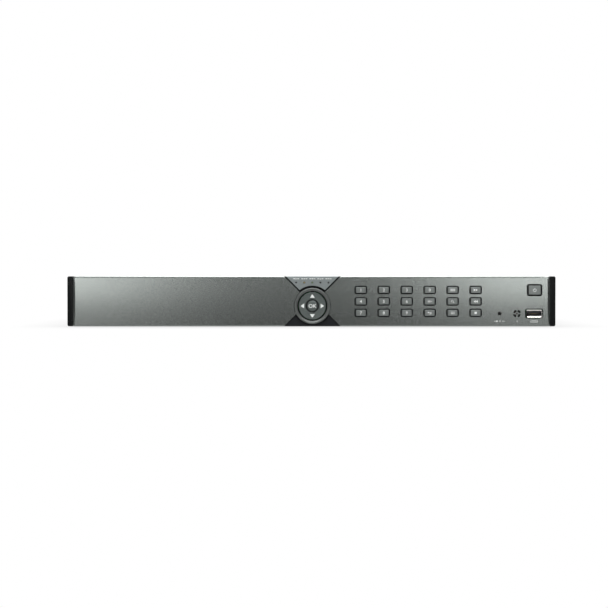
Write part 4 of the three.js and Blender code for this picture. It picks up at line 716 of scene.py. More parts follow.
def lower_inlay():
    """The dark inlay under the ring, set off from the plates by grooves."""
    shape = Shape()
    groove, radius = 1.7, RING_OUTER + 1.1
    foot = PLATE_LOWER_FOOT - groove
    angle = groove_point(foot, -1, radius)
    points = [(NAV.x - foot, PANEL_BOTTOM + 0.3), (NAV.x + foot, PANEL_BOTTOM + 0.3)]
    points += arc(NAV.x, NAV.z, radius, angle, -180 - angle, 48)
    shape.slab(points, [], 1.05, PLATE_BACK + 0.3, recess_grey, 0.25)
    shape.piece("lower_inlay", MAIN, "bezel_black")


nav_ring()
direction_pad()
ok_button()
lower_inlay()


# ---------------------------------------------------------------- keys

def menu_sign(shape, x, z, front):
    """A list: three bars."""
    for up in spread(3, 0.8):
        shape.mark(rounded(x, z + up, 4.4, 0.42, 0.12, 2), front)


def camera_sign(shape, x, z, front):
    """A camera with its lens to the right, printed in grey."""
    shape.mark(rounded(x - 0.5, z, 2.6, 1.7, 0.35, 3), front, print_grey)
    shape.mark(shifted(x, z, [(1.0, 0), (2.0, 0.75), (2.0, -0.75)]), front, print_grey)


def search_sign(shape, x, z, front):
    """A magnifying glass."""
    shape.mark(circle(x - 0.4, z + 0.25, 1.05, 24), front, holes=[circle(x - 0.4, z + 0.25, 0.72, 20)])
    shape.mark(shifted(x, z, [(0.2, -0.55), (0.48, -0.27), (1.45, -1.2), (1.15, -1.45)]), front)


def double_sign(direction):
    """Two arrowheads in a row."""
    def draw(shape, x, z, front):
        for across in spread(2, 1.9):
            shape.mark(triangle(x + across, z, direction, 2.3, 1.8), front)
    return draw


def escape_sign(shape, x, z, front):
    """A hooked arrow that goes back."""
    thin = 0.21
    top, low, right = z + 0.35, z - 0.95, x + 1.35
    hook = [(x - 0.9, top + thin), (right - 0.3, top + thin), (right, top), (right, low)]
    hook += [(right - 0.3, low - thin), (x - 0.5, low - thin), (x - 0.5, low + thin)]
    hook += [(right - 2 * thin, low + thin), (right - 2 * thin, top - thin)]
    hook += [(x - 0.9, top - thin), (x - 0.9, top - 0.85), (x - 2.15, top), (x - 0.9, top + 0.85)]
    shape.mark(hook, front)


def function_sign(shape, x, z, front):
    """A small grid of six dots."""
    for across in spread(3, 1.2):
        for up in spread(2, 1.3):
            shape.mark(rounded(x + across, z + up, 0.75, 0.75, 0.2, 2), front)


def stop_sign(shape, x, z, front):
    shape.mark(rounded(x, z, 2.1, 2.0, 0.15, 2), front)


def power_sign(shape, x, z, front):
    """A broken ring with a bar in its gap."""
    shape.mark(arc(x, z - 0.1, 1.5, 125, 415, 28) + arc(x, z - 0.1, 1.12, 415, 125, 28), front)
    shape.mark(rounded(x, z + 0.95, 0.4, 1.7, 0.1, 2), front)


SIGNS = {
    "key_menu": menu_sign,
    "key_forward": double_sign(0),
    "key_camera": camera_sign,
    "key_search": search_sign,
    "key_rewind": double_sign(180),
    "key_escape": escape_sign,
    "key_function": function_sign,
    "key_stop": stop_sign,
    "power_button": power_sign,
}


def key(node):
    """A soft-edged cap with its sign or digit, a flange and a stem."""
    shape = Shape()
    low, high = box(node)
    x, z = middle(node).x, middle(node).z
    width, height = key_size(node)
    front = low.y
    shape.button(x, z, width, height, KEY_CORNER, front, FLANGE_FRONT + 0.2, key_paint, 0.32, 4)
    shape.block(low.x, high.x, FLANGE_FRONT, FLANGE_BACK, low.z, high.z, key_paint)
    stem = [x - STEM_HALF, x + STEM_HALF, FLANGE_BACK - 0.1, high.y, z - STEM_HALF, z + STEM_HALF]
    shape.block(*stem, key_paint)
    if node in SIGNS:
        SIGNS[node](shape, x, z, front - 0.02)
    else:
        shape.text(node[-1], 2.7, x, z, front - 0.02, legend_white)
    shape.piece(node + "_cap", node, "key_cap", [node], 40)


for node in [*KEYS, "power_button"]:
    key(node)


# ---------------------------------------------------------------- front sockets

def usb_socket():
    """A shell with a rolled lip, four springs pressed out of it, and the tongue with its contacts."""
    shape = Shape()
    x, z = middle("front_usb_socket").x, middle("front_usb_socket").z
    back = box("front_usb_socket")[1].y
    lip, wall = 0.9, 0.35
    w, h = (length - 2 * lip for length in extent("front_usb_socket"))
    # growth, corner and depth of each section
    sections = [(0, 0.7, back), (0, 0.7, 1.3), (0.25, 0.9, 0.9), (0.6, 1.1, 0.72)]
    sections += [(0.62, 1.1, 0.6), (0.2, 0.9, 0.66), (-wall, 0.5, 1.15), (-wall, 0.5, back)]
    rings = []
    for grow, corner, y in sections:
        rings.append(at_depth(y, rounded(x, z, w + 2 * grow, h + 2 * grow, corner, 5)))
    shape.loft(rings, bright_nickel, closed=True)
    half, tall = w / 2 - 0.4, h / 2 - 0.4
    shape.block(x - half, x + half, back - 1, back - 0.1, z - tall, z + tall, moulded_black)
    shape.block(x - w / 2 + 1, x + w / 2 - 1, 1.9, back - 0.5, z + 0.1, z + 1.9, moulded_black)
    for across in spread(4, 2.3):
        shape.block(x + across - 0.5, x + across + 0.5, 2.3, back - 1, z - 0.02, z + 0.12, gold, 0.05)
    for side in (-1, 1):
        for up in (-1, 1):
            sx, sz = x + side * w / 4, z + up * (h / 2 - wall - 0.12)
            shape.block(sx - 1.1, sx + 1.1, 1.6, 6, sz - 0.1, sz + 0.1, bright_nickel, 0.05)
    shape.piece("usb_socket", MAIN, "plated_shell", ["front_usb_socket"], 40)


def receiver_jack():
    """A small plug socket: a bush, a sleeve and a body behind the plate."""
    shape = Shape()
    low, high = box("external_receiver_jack")
    centre = middle("external_receiver_jack")
    bush = [(2.9, 5.1), (2.9, 1.75), (2.7, 1.72), (1.95, 1.72), (1.8, 1.9), (1.8, 5.0)]
    shape.lathe(bush, moulded_black, centre.x, centre.z, 32, closed=True)
    sleeve = [(1.85, 2.6), (1.62, 2.7), (1.62, 7.4), (1.85, 7.4)]
    shape.lathe(sleeve, nickel, centre.x, centre.z, 32, closed=True)
    shape.block(low.x, high.x, 5.0, high.y, low.z, high.z, moulded_black, 0.2)
    shape.piece("receiver_jack", MAIN, "connector_plastic", ["external_receiver_jack"], 40)


def infrared_eye():
    """A dark red lens behind the plate's grille."""
    shape = Shape()
    low, high = box("infrared_receiver")
    lens = from_y(low.y, (0.2, 0), (0.9, 0.08), (1.6, 0.4), (2.2, 1), (2.5, 1.8)) + [(2.5, 5.4)]
    shape.lathe(lens, lens_red, middle("infrared_receiver").x, middle("external_receiver_jack").z, 32)
    shape.block(low.x, high.x, 4.8, high.y, low.z, high.z, moulded_black, 0.2)
    shape.piece("infrared_eye", MAIN, "receiver_lens", ["infrared_receiver"], 40)


usb_socket()
receiver_jack()
infrared_eye()


# ---------------------------------------------------------------- end caps

def end_cap(node, side):
    """A moulding with round outer corners, whose outer front edge curves back."""
    shape = Shape()
    low, high = box(node)
    outer = side * max(abs(low.x), abs(high.x))
    inner = outer - side * 5
    corner, curved, setback = 1.6, 2.6, 1.5
    out, down = (0, -90) if side > 0 else (180, 270)
    points = [(inner, PANEL_BOTTOM), (inner, PANEL_TOP)]
    points += arc(outer - side * corner, PANEL_TOP - corner, corner, 90, out, 8)
    points += arc(outer - side * corner, PANEL_BOTTOM + corner, corner, out, down, 8)
    shape.slab(points, [], low.y, high.y, cap_black, 0.35)
    for vertex in shape.bm.verts:
        reach = max(0.0, abs(vertex.co.x) - abs(outer) + curved) / curved
        share = max(0.0, 1 - (vertex.co.y - low.y) / 4)
        vertex.co.y += setback * reach**2 * share
    peg = sorted((inner + side * 0.2, side * min(abs(low.x), abs(high.x))))
    shape.block(*peg, 7.1, 9.9, PANEL_MIDDLE - 7, PANEL_MIDDLE + 7, cap_black)
    shape.piece(node + "_moulding", MAIN, "bezel_black", [node], 40)


end_cap("left_end_cap", -1)
end_cap("right_end_cap", 1)


# ---------------------------------------------------------------- case

CASE_LOW, CASE_HIGH = box("rear_panel")
REAR = CASE_HIGH.y
CASE_HALF = CASE_HIGH.x
CASE_TOP = CASE_HIGH.z
SIDE_VENTS = [78.1, 215.0]  # where the two groups of slots start
EAR_HOLES = [(24.1, 0), (46.1, -11), (46.1, 11)]  # the screw holes for rack ears: depth and height

VIDEO = box("video_input_block")
VIDEO_X = [(VIDEO[0].x + VIDEO[1].x) / 2 + across for across in spread(8, 15.6)]
VIDEO_Z = [VIDEO[0].z + 6.5, VIDEO[1].z - 6.2]
AUDIO = box("audio_jack_block")
AUDIO_X = [(AUDIO[0].x + AUDIO[1].x) / 2 + across for across in spread(3, 14)]
AUDIO_Z = [AUDIO[0].z + 6.5, AUDIO[1].z - 6.5]
VGA = middle("vga_port")
HDMI = middle("hdmi_port")
NETWORK = middle("network_port")
TERMINAL = middle("terminal_plug")
FAN = middle("fan_frame")
INLET = middle("mains_inlet")
SCREWS = [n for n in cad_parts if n.startswith("cover_screw")]
HUB = 9.5  # the radius of the fan's hub
BLADES = 7


def plus(x, z, arm, half):
    """A cross-shaped outline."""
    points = [(-half, -arm), (half, -arm), (half, -half), (arm, -half), (arm, half), (half, half)]
    return shifted(x, z, points + [(-px, -pz) for px, pz in points])


def top_cover():
    """One sheet: cut flat with its vents, then bent down at both sides."""
    low, high = box("top_cover")
    side = CASE_TOP - BEND - low.z
    bend = math.pi / 2 * BEND
    flat = CASE_HALF - BEND  # half of the width that stays level
    half = flat + bend + side
    vents = []
    for way in (-1, 1):
        across = way * (half - (PANEL_MIDDLE - low.z))
        for start in SIDE_VENTS:
            for i in range(9):
                y = start + i * VENT_PITCH + VENT_WIDTH / 2
                vents.append(rounded(across, y, VENT_HEIGHT, VENT_WIDTH, 1.1, 4))
        vents += [circle(across - way * up, y, 2.2, 20) for y, up in EAR_HOLES]
    shape = Shape()
    outline = [(-half, low.y), (half, low.y), (half, high.y), (-half, high.y)]
    shape.layer(outline, vents, -SHEET, 0, powder_black)
    for way in (-1, 1):
        for i in range(BEND_STEPS + 1):
            shape.cut((way * (flat + bend * i / BEND_STEPS), 0, 0), (1, 0, 0))
    for vertex in shape.bm.verts:
        x, z = vertex.co.x, vertex.co.z
        past = abs(x) - flat
        way = 1 if x > 0 else -1
        if past <= 0:
            vertex.co.z = CASE_TOP + z
        elif past < bend:
            angle = past / BEND
            vertex.co.x = way * (flat + (BEND + z) * math.sin(angle))
            vertex.co.z = CASE_TOP - BEND + (BEND + z) * math.cos(angle)
        else:
            vertex.co.x = way * (CASE_HALF + z)
            vertex.co.z = CASE_TOP - BEND - (past - bend)
    lip = CASE_TOP - SHEET - 4.4
    fan_low, fan_high = box("fan_frame")
    for x0, x1 in [(-CASE_HALF + SHEET, fan_low.x - 0.4), (fan_high.x + 0.4, CASE_HALF - SHEET)]:
        shape.block(x0, x1, high.y - SHEET, high.y, lip, CASE_TOP - SHEET, powder_black)
    shape.piece("cover_sheet", MAIN, "case_steel", ["top_cover"], 25)


def rear_holes():
    """The windows of the sockets, the slots of the fan's grille, the screw holes and the vents."""
    width, height = extent("mains_inlet")
    holes = [rounded(INLET.x, INLET.z, width - 3.8, height - 3.8, 0.4, 2)]
    radius = extent("fan_frame")[0] / 2 - 2
    for z in spread(7, 5):
        holes.append(rounded(FAN.x, FAN.z + z, 2 * math.sqrt(radius**2 - z**2) - 2, 2.8, 1.35, 5))
    holes += [circle(x, z, 6.25, 28) for x in VIDEO_X for z in VIDEO_Z]
    holes += [circle(x, z, 5.25, 24) for x in AUDIO_X for z in AUDIO_Z]
    holes.append(rounded(VGA.x, VGA.z, 20, 10, 0.5, 2))
    for socket, width, height in [(HDMI, 15.2, 6), (NETWORK, 16.2, 13.8), (TERMINAL, 31, 11.5)]:
        holes.append(rounded(socket.x, socket.z, width, height, 0.3, 2))
    holes += [circle(middle(s).x, middle(s).z, 1.6, 16) for s in SCREWS]
    return holes + [rounded(VGA.x + 3.2 + i * 6, PANEL_TOP - 13.5, VENT_WIDTH, 9, 1.1, 4) for i in range(8)]


def rear_marks(shape):
    """Channel and pole numbers, and a generic sign for each kind of socket."""
    face, thin = REAR + 0.01, 0.04

    def number(value, height, x, z):
        shape.text(str(value), height, x, z, face, print_grey, thin, behind=True)

    for first, z in [(8, VIDEO_Z[1] + 8.4), (16, VIDEO_Z[0] - 8.4)]:
        for i, x in enumerate(VIDEO_X):
            number(first - i, 2.0, x, z)
    for i, across in enumerate(spread(8, 3.81)):
        number(8 - i, 1.7, TERMINAL.x + across, TERMINAL.z - 7.8)
    for z, direction in [(AUDIO_Z[1] + 7.4, -90), (AUDIO_Z[0] - 7.2, 90)]:  # sound in and out
        for x in AUDIO_X:
            shape.mark(triangle(x, z, direction, 2.2, 1.7), face, print_grey, thin)
    z = box("vga_port")[1].z + 2.6
    for x in (VGA.x, HDMI.x):  # a screen on its stand
        shape.mark(rounded(x, z, 4.2, 2.6, 0.4, 3), face, print_grey, thin, [rounded(x, z, 3.6, 2.0, 0.2, 3)])
        shape.mark(rounded(x, z - 1.7, 2.2, 0.35, 0.1, 2), face, print_grey, thin)
    z = NETWORK.z + 9
    for dx, dz in [(0, 0.7), (-1.6, -0.9), (0, -0.9), (1.6, -0.9)]:  # a small tree of boxes
        shape.mark(rounded(NETWORK.x + dx, z + dz, 1.1, 0.9, 0.1, 2), face, print_grey, thin)
    shape.mark(rounded(NETWORK.x, z - 0.1, 3.5, 0.2, 0.05, 2), face, print_grey, thin)


def rear_panel():
    shape = Shape()
    outline = [(-CASE_HALF, CASE_LOW.z), (CASE_HALF, CASE_LOW.z)]
    outline += arc(CASE_HALF - BEND, CASE_TOP - BEND, BEND, 0, 90, 8)
    outline += arc(-CASE_HALF + BEND, CASE_TOP - BEND, BEND, 90, 180, 8)
    shape.slab(outline, rear_holes(), REAR - SHEET, REAR, powder_black)
    rear_marks(shape)
    shape.piece("rear_sheet", MAIN, "case_steel", ["rear_panel"], 25)


def cover_screw(node):
    """A pan head with a cross recess, on its shank."""
    shape = Shape()
    x, z = middle(node).x, middle(node).z
    head = extent(node)[0] / 2
    shape.slab(circle(x, z, head, 36), [plus(x, z, head * 0.55, 0.36)], REAR + 0.7, REAR + 1.9, zinc, 0.45)
    shank = [(1.45, box(node)[0].y), (1.45, REAR + 0.1), (head, REAR + 0.1), (head, REAR + 1.1)]
    shape.lathe(shank, zinc, x, z, 36)
    shape.piece(node + "_cross", MAIN, "plated_screw", [node], 30)


def foot(node):
    """A rubber foot with a round lower edge, hollow round the screw that holds it."""
    shape = Shape()
    high = box(node)[1]
    centre = middle(node)
    r = extent(node)[0] / 2
    profile = [(3.1, 0.9), (3.3, 0.25), (3.7, 0.02), (r - 1.1, 0), (r - 0.5, 0.12)]
    profile += [(r - 0.15, 0.45), (r, 1.0), (r, high.z)]
    upright = turned((centre.x, centre.y, 0), 90, "X")
    shape.lathe(profile, rubber, sides=48, turn=upright)
    shape.lathe([(1.2, 0.5), (1.9, 0.55), (2.3, 0.8), (2.3, 1.0)], zinc, sides=24, turn=upright)
    shape.piece(node + "_moulding", MAIN, "foot_rubber", [node], 40)


top_cover()
rear_panel()
for node in SCREWS:
    cover_screw(node)
for node in [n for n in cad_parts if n.startswith("foot_")]:
    foot(node)


# ---------------------------------------------------------------- rear sockets

def video_input(shape, x, z, end):
    """A bayonet socket: washer, nut, barrel with two lugs, insulator and contact."""
    washer = from_y(REAR, (6.2, -2), (6.2, 0.3), (5.9, 0.45), (5.0, 0.45))
    shape.lathe(washer, bright_nickel, x, z, 40)
    shape.lathe(from_y(REAR, (5.9, 0.4), (6.2, 0.6), (6.2, 1.6), (5.7, 1.9), (4.4, 1.9)), nickel, x, z, 6)
    barrel = from_y(REAR, (4.8, 0), (4.8, 3), (4.55, 3.15), (4.55, 4.2), (4.8, 4.35))
    barrel += from_y(end, (4.8, -0.4), (4.6, 0), (4.25, 0), (4.05, -0.3)) + from_y(REAR, (4.05, 3), (4.05, 0))
    shape.lathe(barrel, bright_nickel, x, z, 40, closed=True)
    for way in (-90, 90):
        lug = [(0.95, 4.4), (0.95, 5.45), (0.75, 5.7)]
        shape.lathe(lug, bright_nickel, sides=16, turn=turned((x, end - 4, z), way, "X"))
    shape.lathe(from_y(REAR, (4.1, 1), (4.1, 3), (2.5, 3)), moulded_white, x, z, 24)
    insulator = from_y(end, (2.3, -1.7), (2.15, -1.5), (0.85, -1.5), (0.75, -1.7))
    insulator = [(2.3, REAR + 2.5), *insulator, (0.75, REAR + 2.5)]
    shape.lathe(insulator, moulded_white, x, z, 28, closed=True)
    contact = from_y(end, (0.75, -1.75), (0.5, -1.75), (0.45, -2))
    shape.lathe([(0.75, REAR + 3), *contact, (0.45, REAR + 3)], gold, x, z, 16, closed=True)


def video_inputs():
    """Sixteen bayonet sockets on one block."""
    shape = Shape()
    low, high = VIDEO
    shape.block(low.x, high.x, low.y, REAR - SHEET - 0.1, low.z, high.z, moulded_black, 0.4)
    for x in VIDEO_X:
        for z in VIDEO_Z:
            video_input(shape, x, z, high.y)
    shape.piece("video_inputs", MAIN, "plated_shell", ["video_input_block"], 35)


def audio_jacks():
    """Six coaxial sound sockets, the upper row white and the lower row red."""
    shape = Shape()
    low, high = AUDIO
    shape.block(low.x, high.x, low.y, REAR - SHEET - 0.1, low.z, high.z, moulded_black, 0.4)
    end = high.y
    collar = from_y(REAR, (5.2, -2), (5.2, 0.7), (4.9, 1), (4.0, 1))
    barrel = from_y(end, (4.1, -0.5), (3.85, 0), (3.5, 0), (3.3, -0.25))
    core = from_y(end, (3.3, -0.8), (3.1, -0.6), (1.9, -0.6), (1.7, -0.9))
    for x in AUDIO_X:
        for z, colour in zip(AUDIO_Z, (moulded_red, moulded_white)):
            shape.lathe(collar, colour, x, z, 40)
            shape.lathe([(4.1, REAR), *barrel, (3.3, REAR)], bright_nickel, x, z, 40, closed=True)
            shape.lathe([(3.3, REAR + 1), *core, (1.7, REAR + 1)], colour, x, z, 28, closed=True)
            shape.lathe(from_y(REAR, (1.7, 0.5), (1.7, 1.5)), gold, x, z, 20)
    shape.piece("audio_jacks", MAIN, "plated_shell", ["audio_jack_block"], 35)


def screen_outline(width, height):
    """The D-shaped shell of a fifteen-way socket, with rounded corners."""
    lean, r = 1.6, 1.3
    w, h = width / 2 - r, height / 2 - r
    corners = [(w, h, 0), (-w, h, 90), (-w + lean, -h, 180), (w - lean, -h, 270)]
    return [p for cx, cz, start in corners for p in arc(VGA.x + cx, VGA.z + cz, r, start, start + 90, 5)]


def vga_port():
    """A fifteen-way screen socket between its two jack screws."""
    shape = Shape()
    low = box("vga_port")[0]
    flange = rounded(VGA.x, VGA.z, *extent("vga_port"), 1.2, 5)
    shape.slab(flange, [], REAR + 0.1, REAR + 0.9, bright_nickel, 0.2)
    shell, bore = screen_outline(16.9, 8.3), screen_outline(16.1, 7.5)
    shape.slab(shell, [bore], REAR + 0.5, REAR + 6, bright_nickel, 0.15)
    ways = []
    for row, dx in [(1, 0), (0, 1.15), (-1, 0)]:
        ways += [circle(VGA.x + across + dx, VGA.z + row * 1.98, 0.5, 12) for across in spread(5, 2.29)]
    shape.slab(screen_outline(15.6, 7.0), ways, REAR + 2, REAR + 5.4, moulded_blue, 0.2)
    shape.block(VGA.x - 9.6, VGA.x + 9.6, low.y, REAR + 0.4, VGA.z - 4.7, VGA.z + 4.7, moulded_black)
    nut = from_y(REAR, (2.6, 0.6), (2.6, 4.5), (2.2, 5), (1.3, 5), (1.1, 4.7), (1.1, 0.6))
    for across in (-12.5, 12.5):
        shape.lathe(nut, nickel, VGA.x + across, VGA.z, 6, closed=True)
    shape.piece("screen_socket", MAIN, "plated_shell", ["vga_port"], 35)


def hdmi_outline(inset):
    """The shell of a digital screen socket, its lower corners cut off."""
    w, h = (length / 2 for length in extent("hdmi_port"))
    left = [(-w + inset, h - inset), (-w + inset, -h / 3), (-w + 2 + inset / 2, -h + inset)]
    right = [(-x, z) for x, z in left[::-1]]
    return shifted(HDMI.x, HDMI.z, [right[2], *left, right[0], right[1]])


def hdmi_port():
    """A digital screen socket with the tongue and contacts in its shell."""
    shape = Shape()
    low, high = box("hdmi_port")
    x, z = HDMI.x, HDMI.z
    shape.slab(hdmi_outline(0), [hdmi_outline(0.5)], low.y, high.y, bright_nickel, 0.12)
    shape.block(x - 6.6, x + 6.6, low.y, low.y + 1.5, z - 2.1, z + 2.2, moulded_black)
    shape.block(x - 5.2, x + 5.2, low.y + 1, REAR - 1, z - 0.3, z + 0.9, moulded_black)
    for across in spread(10, 1.0):
        sides = x + across - 0.22, x + across + 0.22
        shape.block(*sides, low.y + 1, REAR - 1.4, z - 0.42, z - 0.28, gold, 0.03)
    shape.piece("digital_screen_socket", MAIN, "plated_shell", ["hdmi_port"], 35)


def network_port():
    """A network socket: a stepped mouth, eight sprung contacts and two lights."""
    shape = Shape()
    low, high = box("network_port")
    x, z = NETWORK.x, NETWORK.z
    width, height = extent("network_port")
    left = [(-5.95, 3.4), (-5.95, -4.4), (-3.1, -4.4), (-3.1, -5.9)]
    mouth = shifted(x, z, left + [(-px, pz) for px, pz in left[::-1]])
    shape.slab(rounded(x, z, width, height, 0.4, 3), [mouth], REAR - 3, high.y, bright_nickel, 0.15)
    lining = rounded(x, z, width - 0.6, height - 0.6, 0.3, 3)
    shape.slab(lining, [mouth], REAR - 12, REAR - 3, moulded_black, 0.1)
    shape.block(low.x, high.x, low.y, REAR - 12, low.z, high.z, moulded_black, 0.3)
    for across in spread(8, 1.02):
        lean = turned((x + across, REAR - 8, z + 2.2), -18, "X")
        shape.block(-0.2, 0.2, -4, 4, -0.12, 0.12, gold, 0.05, lean)
    for cx, colour in [(x - 6, lens_green), (x + 6, lens_amber)]:
        shape.block(cx - 1.3, cx + 1.3, high.y - 1, high.y + 0.12, z + 4.3, z + 5.9, colour, 0.15)
    shape.piece("network_socket", MAIN, "plated_shell", ["network_port"], 35)


def terminal_plug():
    """The pull-off screw terminal: a wire mouth and a screw for each of eight poles."""
    shape = Shape()
    low, high = box("terminal_plug")
    x, z, width = TERMINAL.x, TERMINAL.z, high.x - low.x
    pitch = width / 8
    step = high.z - 2.6
    screw_y = REAR + 4.5
    poles = [x + across for across in spread(8, pitch)]
    shape.block(low.x, high.x, low.y + 0.4, REAR + 3, low.z, step, moulded_green, 0.2)
    front = rounded(x, (low.z + step) / 2, width, step - low.z, 0.2, 2)
    mouths = [rounded(px, low.z + 3, 2.6, 3.2, 0.3, 3) for px in poles]
    shape.slab(front, mouths, REAR + 2.9, high.y, moulded_green, 0.2)
    top = rounded(x, TERMINAL.y, width, high.y - low.y, 0.3, 3)
    wells = [circle(px, screw_y, 1.25, 20) for px in poles]
    shape.layer(top, wells, step - 0.1, high.z, moulded_green, 0.2)
    for px in poles:
        slot = rounded(px, screw_y, 1.7, 0.35, 0.05, 2)
        shape.layer(circle(px, screw_y, 1.15, 20), [slot], step, step + 1.1, zinc, 0.15)
        shape.block(px - 1.15, px + 1.15, REAR + 4, REAR + 7.2, low.z + 1.5, low.z + 1.9, zinc, 0.05)
        shape.block(px - 0.5, px + 0.5, low.y, low.y + 1, z - 0.5, z + 0.5, nickel, 0.1)
    for across in spread(7, pitch):  # ribs between the poles
        sides = x + across - 0.25, x + across + 0.25
        shape.block(*sides, REAR + 0.6, high.y + 0.35, low.z + 0.3, low.z + 4.9, moulded_green, 0.12)
    shape.piece("screw_terminal", "terminal_plug", "terminal_green", ["terminal_plug"], 35)


def mains_inlet():
    """One frame with the three-pin mains inlet and the window of the rocker switch."""
    shape = Shape()
    low, high = box("mains_inlet")
    width, height = extent("mains_inlet")
    x, z = INLET.x, INLET.z
    socket = x - 7.6
    cavity = shifted(socket, z, [(12, -8), (12, 4), (8, 8), (-8, 8), (-12, 4), (-12, -8)])
    border = shifted(socket, z, [(13, -9), (13, 4.5), (8.5, 9), (-8.5, 9), (-13, 4.5), (-13, -9)])
    holes = [cavity, rounded(x + 15.5, z, 9.9, 19.4, 0.4, 3)]
    shape.slab(rounded(x, z, width, height, 2, 6), holes, REAR + 0.1, high.y, moulded_black, 0.45)
    inner = rounded(x, z, width - 4.2, height - 4.2, 0.4, 3)
    shape.slab(inner, holes, REAR - 13, REAR + 0.3, moulded_black, 0.1)
    shape.block(low.x + 2.2, high.x - 2.2, low.y, REAR - 12.9, low.z + 2.2, high.z - 2.2, moulded_black, 0.4)
    for dx, dz in [(-7, -2), (7, -2), (0, 2)]:
        px, pz = socket + dx, z + dz
        shape.block(px - 1, px + 1, REAR - 14, REAR - 0.5, pz - 2, pz + 2, bright_nickel, 0.35)
    shape.slab(border, [cavity], high.y - 0.3, high.y + 0.35, moulded_black, 0.15)
    shape.piece("mains_socket", MAIN, "connector_plastic", ["mains_inlet"], 35)


def rocker():
    """A shallow V on a half-round back, tipped about its pivot, marked with a bar and a ring."""
    shape = Shape()
    tilt = 8
    tip = turned((middle("rocker_switch").x, REAR - 1, INLET.z), tilt, "X")
    slope, half, face, wide = math.tan(math.radians(tilt)), 8.9, 3.4, 4.7
    rim = face + slope * half
    front = [(rim - 0.5, half), (face + slope * (half - 0.5), half - 0.15)]
    front += [(face + slope * abs(z), z) for z in (7, 5, 3, 1, 0, -1, -3, -5, -7)]
    front += [(face + slope * (half - 0.5), -half + 0.15), (rim - 0.5, -half), (0, -half + 0.6)]
    profile = front + arc(0, 0, 5.4, 255, 105, 10) + [(0, half - 0.6)]
    sections = [(-wide, 0.35), (-wide + 0.35, 0), (wide - 0.35, 0), (wide, 0.35)]
    rings = []
    for x, inset in sections:
        rings.append([(x, y - (inset if y > 1 else 0), z * (1 - inset / 12)) for y, z in profile])
    shape.loft(rings, gloss_black, tip)
    bar, ring, bore = rounded(0, 0, 0.5, 3.2, 0.1, 2), circle(0, 0, 1.5, 28), circle(0, 0, 1.15, 24)
    for way, outline, holes in [(1, bar, []), (-1, ring, [bore])]:
        place = tip @ turned((0, face + slope * 5.2, way * 5.2), -way * tilt, "X")
        shape.adopt(flat_mesh(outline, holes, 0.08, 0), legend_white, place @ STAND)
    shape.piece("rocker_cap", "rocker_switch", "connector_plastic", ["rocker_switch"], 30)


def fan_frame():
    """A square frame with four screw holes, and three struts that hold the motor's seat."""
    shape = Shape()
    low, high = box("fan_frame")
    half = (high.x - low.x) / 2
    corner = half - 3.6
    holes = [circle(FAN.x, FAN.z, half - 1, 64)]
    holes += [circle(FAN.x + dx, FAN.z + dz, 1.8, 16) for dx in (-corner, corner) for dz in (-corner, corner)]
    outline = rounded(FAN.x, FAN.z, 2 * half, 2 * half, 3, 6)
    shape.slab(outline, holes, low.y, high.y, moulded_black, 0.3)
    seat = from_y(high.y, (HUB, -2.6), (HUB, -0.4), (HUB - 0.3, -0.1), (1, 0))
    shape.lathe(seat, moulded_black, FAN.x, FAN.z, 48)
    for i in range(3):
        turn = turned((FAN.x, 0, FAN.z), 120 * i, "Y")
        shape.block(-1.2, 1.2, high.y - 2.4, high.y - 0.2, 8.5, half - 0.6, moulded_black, 0.3, turn)
    shape.piece("fan_housing", MAIN, "connector_plastic", ["fan_frame"], 35)


def blade(start, tip, centre):
    """A cambered blade that leans more towards its tip. start is its angle about the axle."""
    chord, steps, root = 11.5, 5, 9
    section = [(-0.5, 0), (-0.3, 0.45), (0, 0.6), (0.3, 0.5), (0.5, 0.1)]
    section += [(0.3, -0.35), (0, -0.45), (-0.3, -0.3)]
    rings = []
    for step in range(steps + 1):
        share = step / steps
        r = root + (tip - root) * share
        lean = math.radians(38 + 16 * share)
        ring = []
        for along, thick in section:
            run = along * chord
            rise = thick + 0.9 * (1 - 4 * along * along)
            angle = start + (run * math.sin(lean) + rise * math.cos(lean)) / r + 0.1 * share
            y = centre + run * math.cos(lean) - rise * math.sin(lean)
            ring.append((FAN.x + r * math.sin(angle), y, FAN.z + r * math.cos(angle)))
        rings.append(ring)
    return rings


def fan_rotor():
    """A hub with seven blades."""
    shape = Shape()
    low, high = box("fan_rotor")
    tip = extent("fan_frame")[0] / 2 - 2
    hub = [*from_y(low.y, (HUB - 1.5, 0), (HUB - 0.3, 0.2), (HUB, 0.8)), (HUB, high.y)]
    shape.lathe(hub, moulded_black, FAN.x, FAN.z, 48)
    for i in range(BLADES):
        shape.loft(blade(math.radians(i * 360 / BLADES), tip, (low.y + high.y - 2) / 2), moulded_black)
    shape.piece("fan_blades", "fan_rotor", "connector_plastic", ["fan_rotor"], 35)


video_inputs()
audio_jacks()
vga_port()
hdmi_port()
network_port()
terminal_plug()
mains_inlet()
rocker()
fan_frame()
fan_rotor()


# ---------------------------------------------------------------- carried-over nodes

CARRIED = {
    "front_bezel": (gloss_black, 0.15),
    "base_tray": (powder_black, 0.15),
    "pad_gimbal": (moulded_black, 0.1),
    "control_board": (green_board, 0.1),
    "main_board": (green_board, 0.1),
    "power_supply": (green_board, 0.2),
    "processor_heatsink": (fin_metal, 0.1),
    "hard_drive": (cast_metal, 0.4),
    "ribbon_cable": (ribbon_grey, 0.1),
    "drive_cable": (cable_red, 0.1),
}


def carry(node, material, edge):
    """Gives a CAD node its surface and small soft edges."""
    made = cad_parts[node]
    for slot in made.material_slots:
        slot.link = "OBJECT"
        slot.material = material
    weld = made.modifiers.new("weld", "WELD")
    weld.merge_threshold = 1e-6
    bevel = made.modifiers.new("soft_edges", "BEVEL")
    bevel.width = edge * MM
    bevel.segments = 2
    bevel.limit_method = "ANGLE"
    bevel.angle_limit = math.radians(40)
    bevel.use_clamp_overlap = True


for node, (material, edge) in CARRIED.items():
    carry(node, material, edge)


# ---------------------------------------------------------------- stage, lights and camera

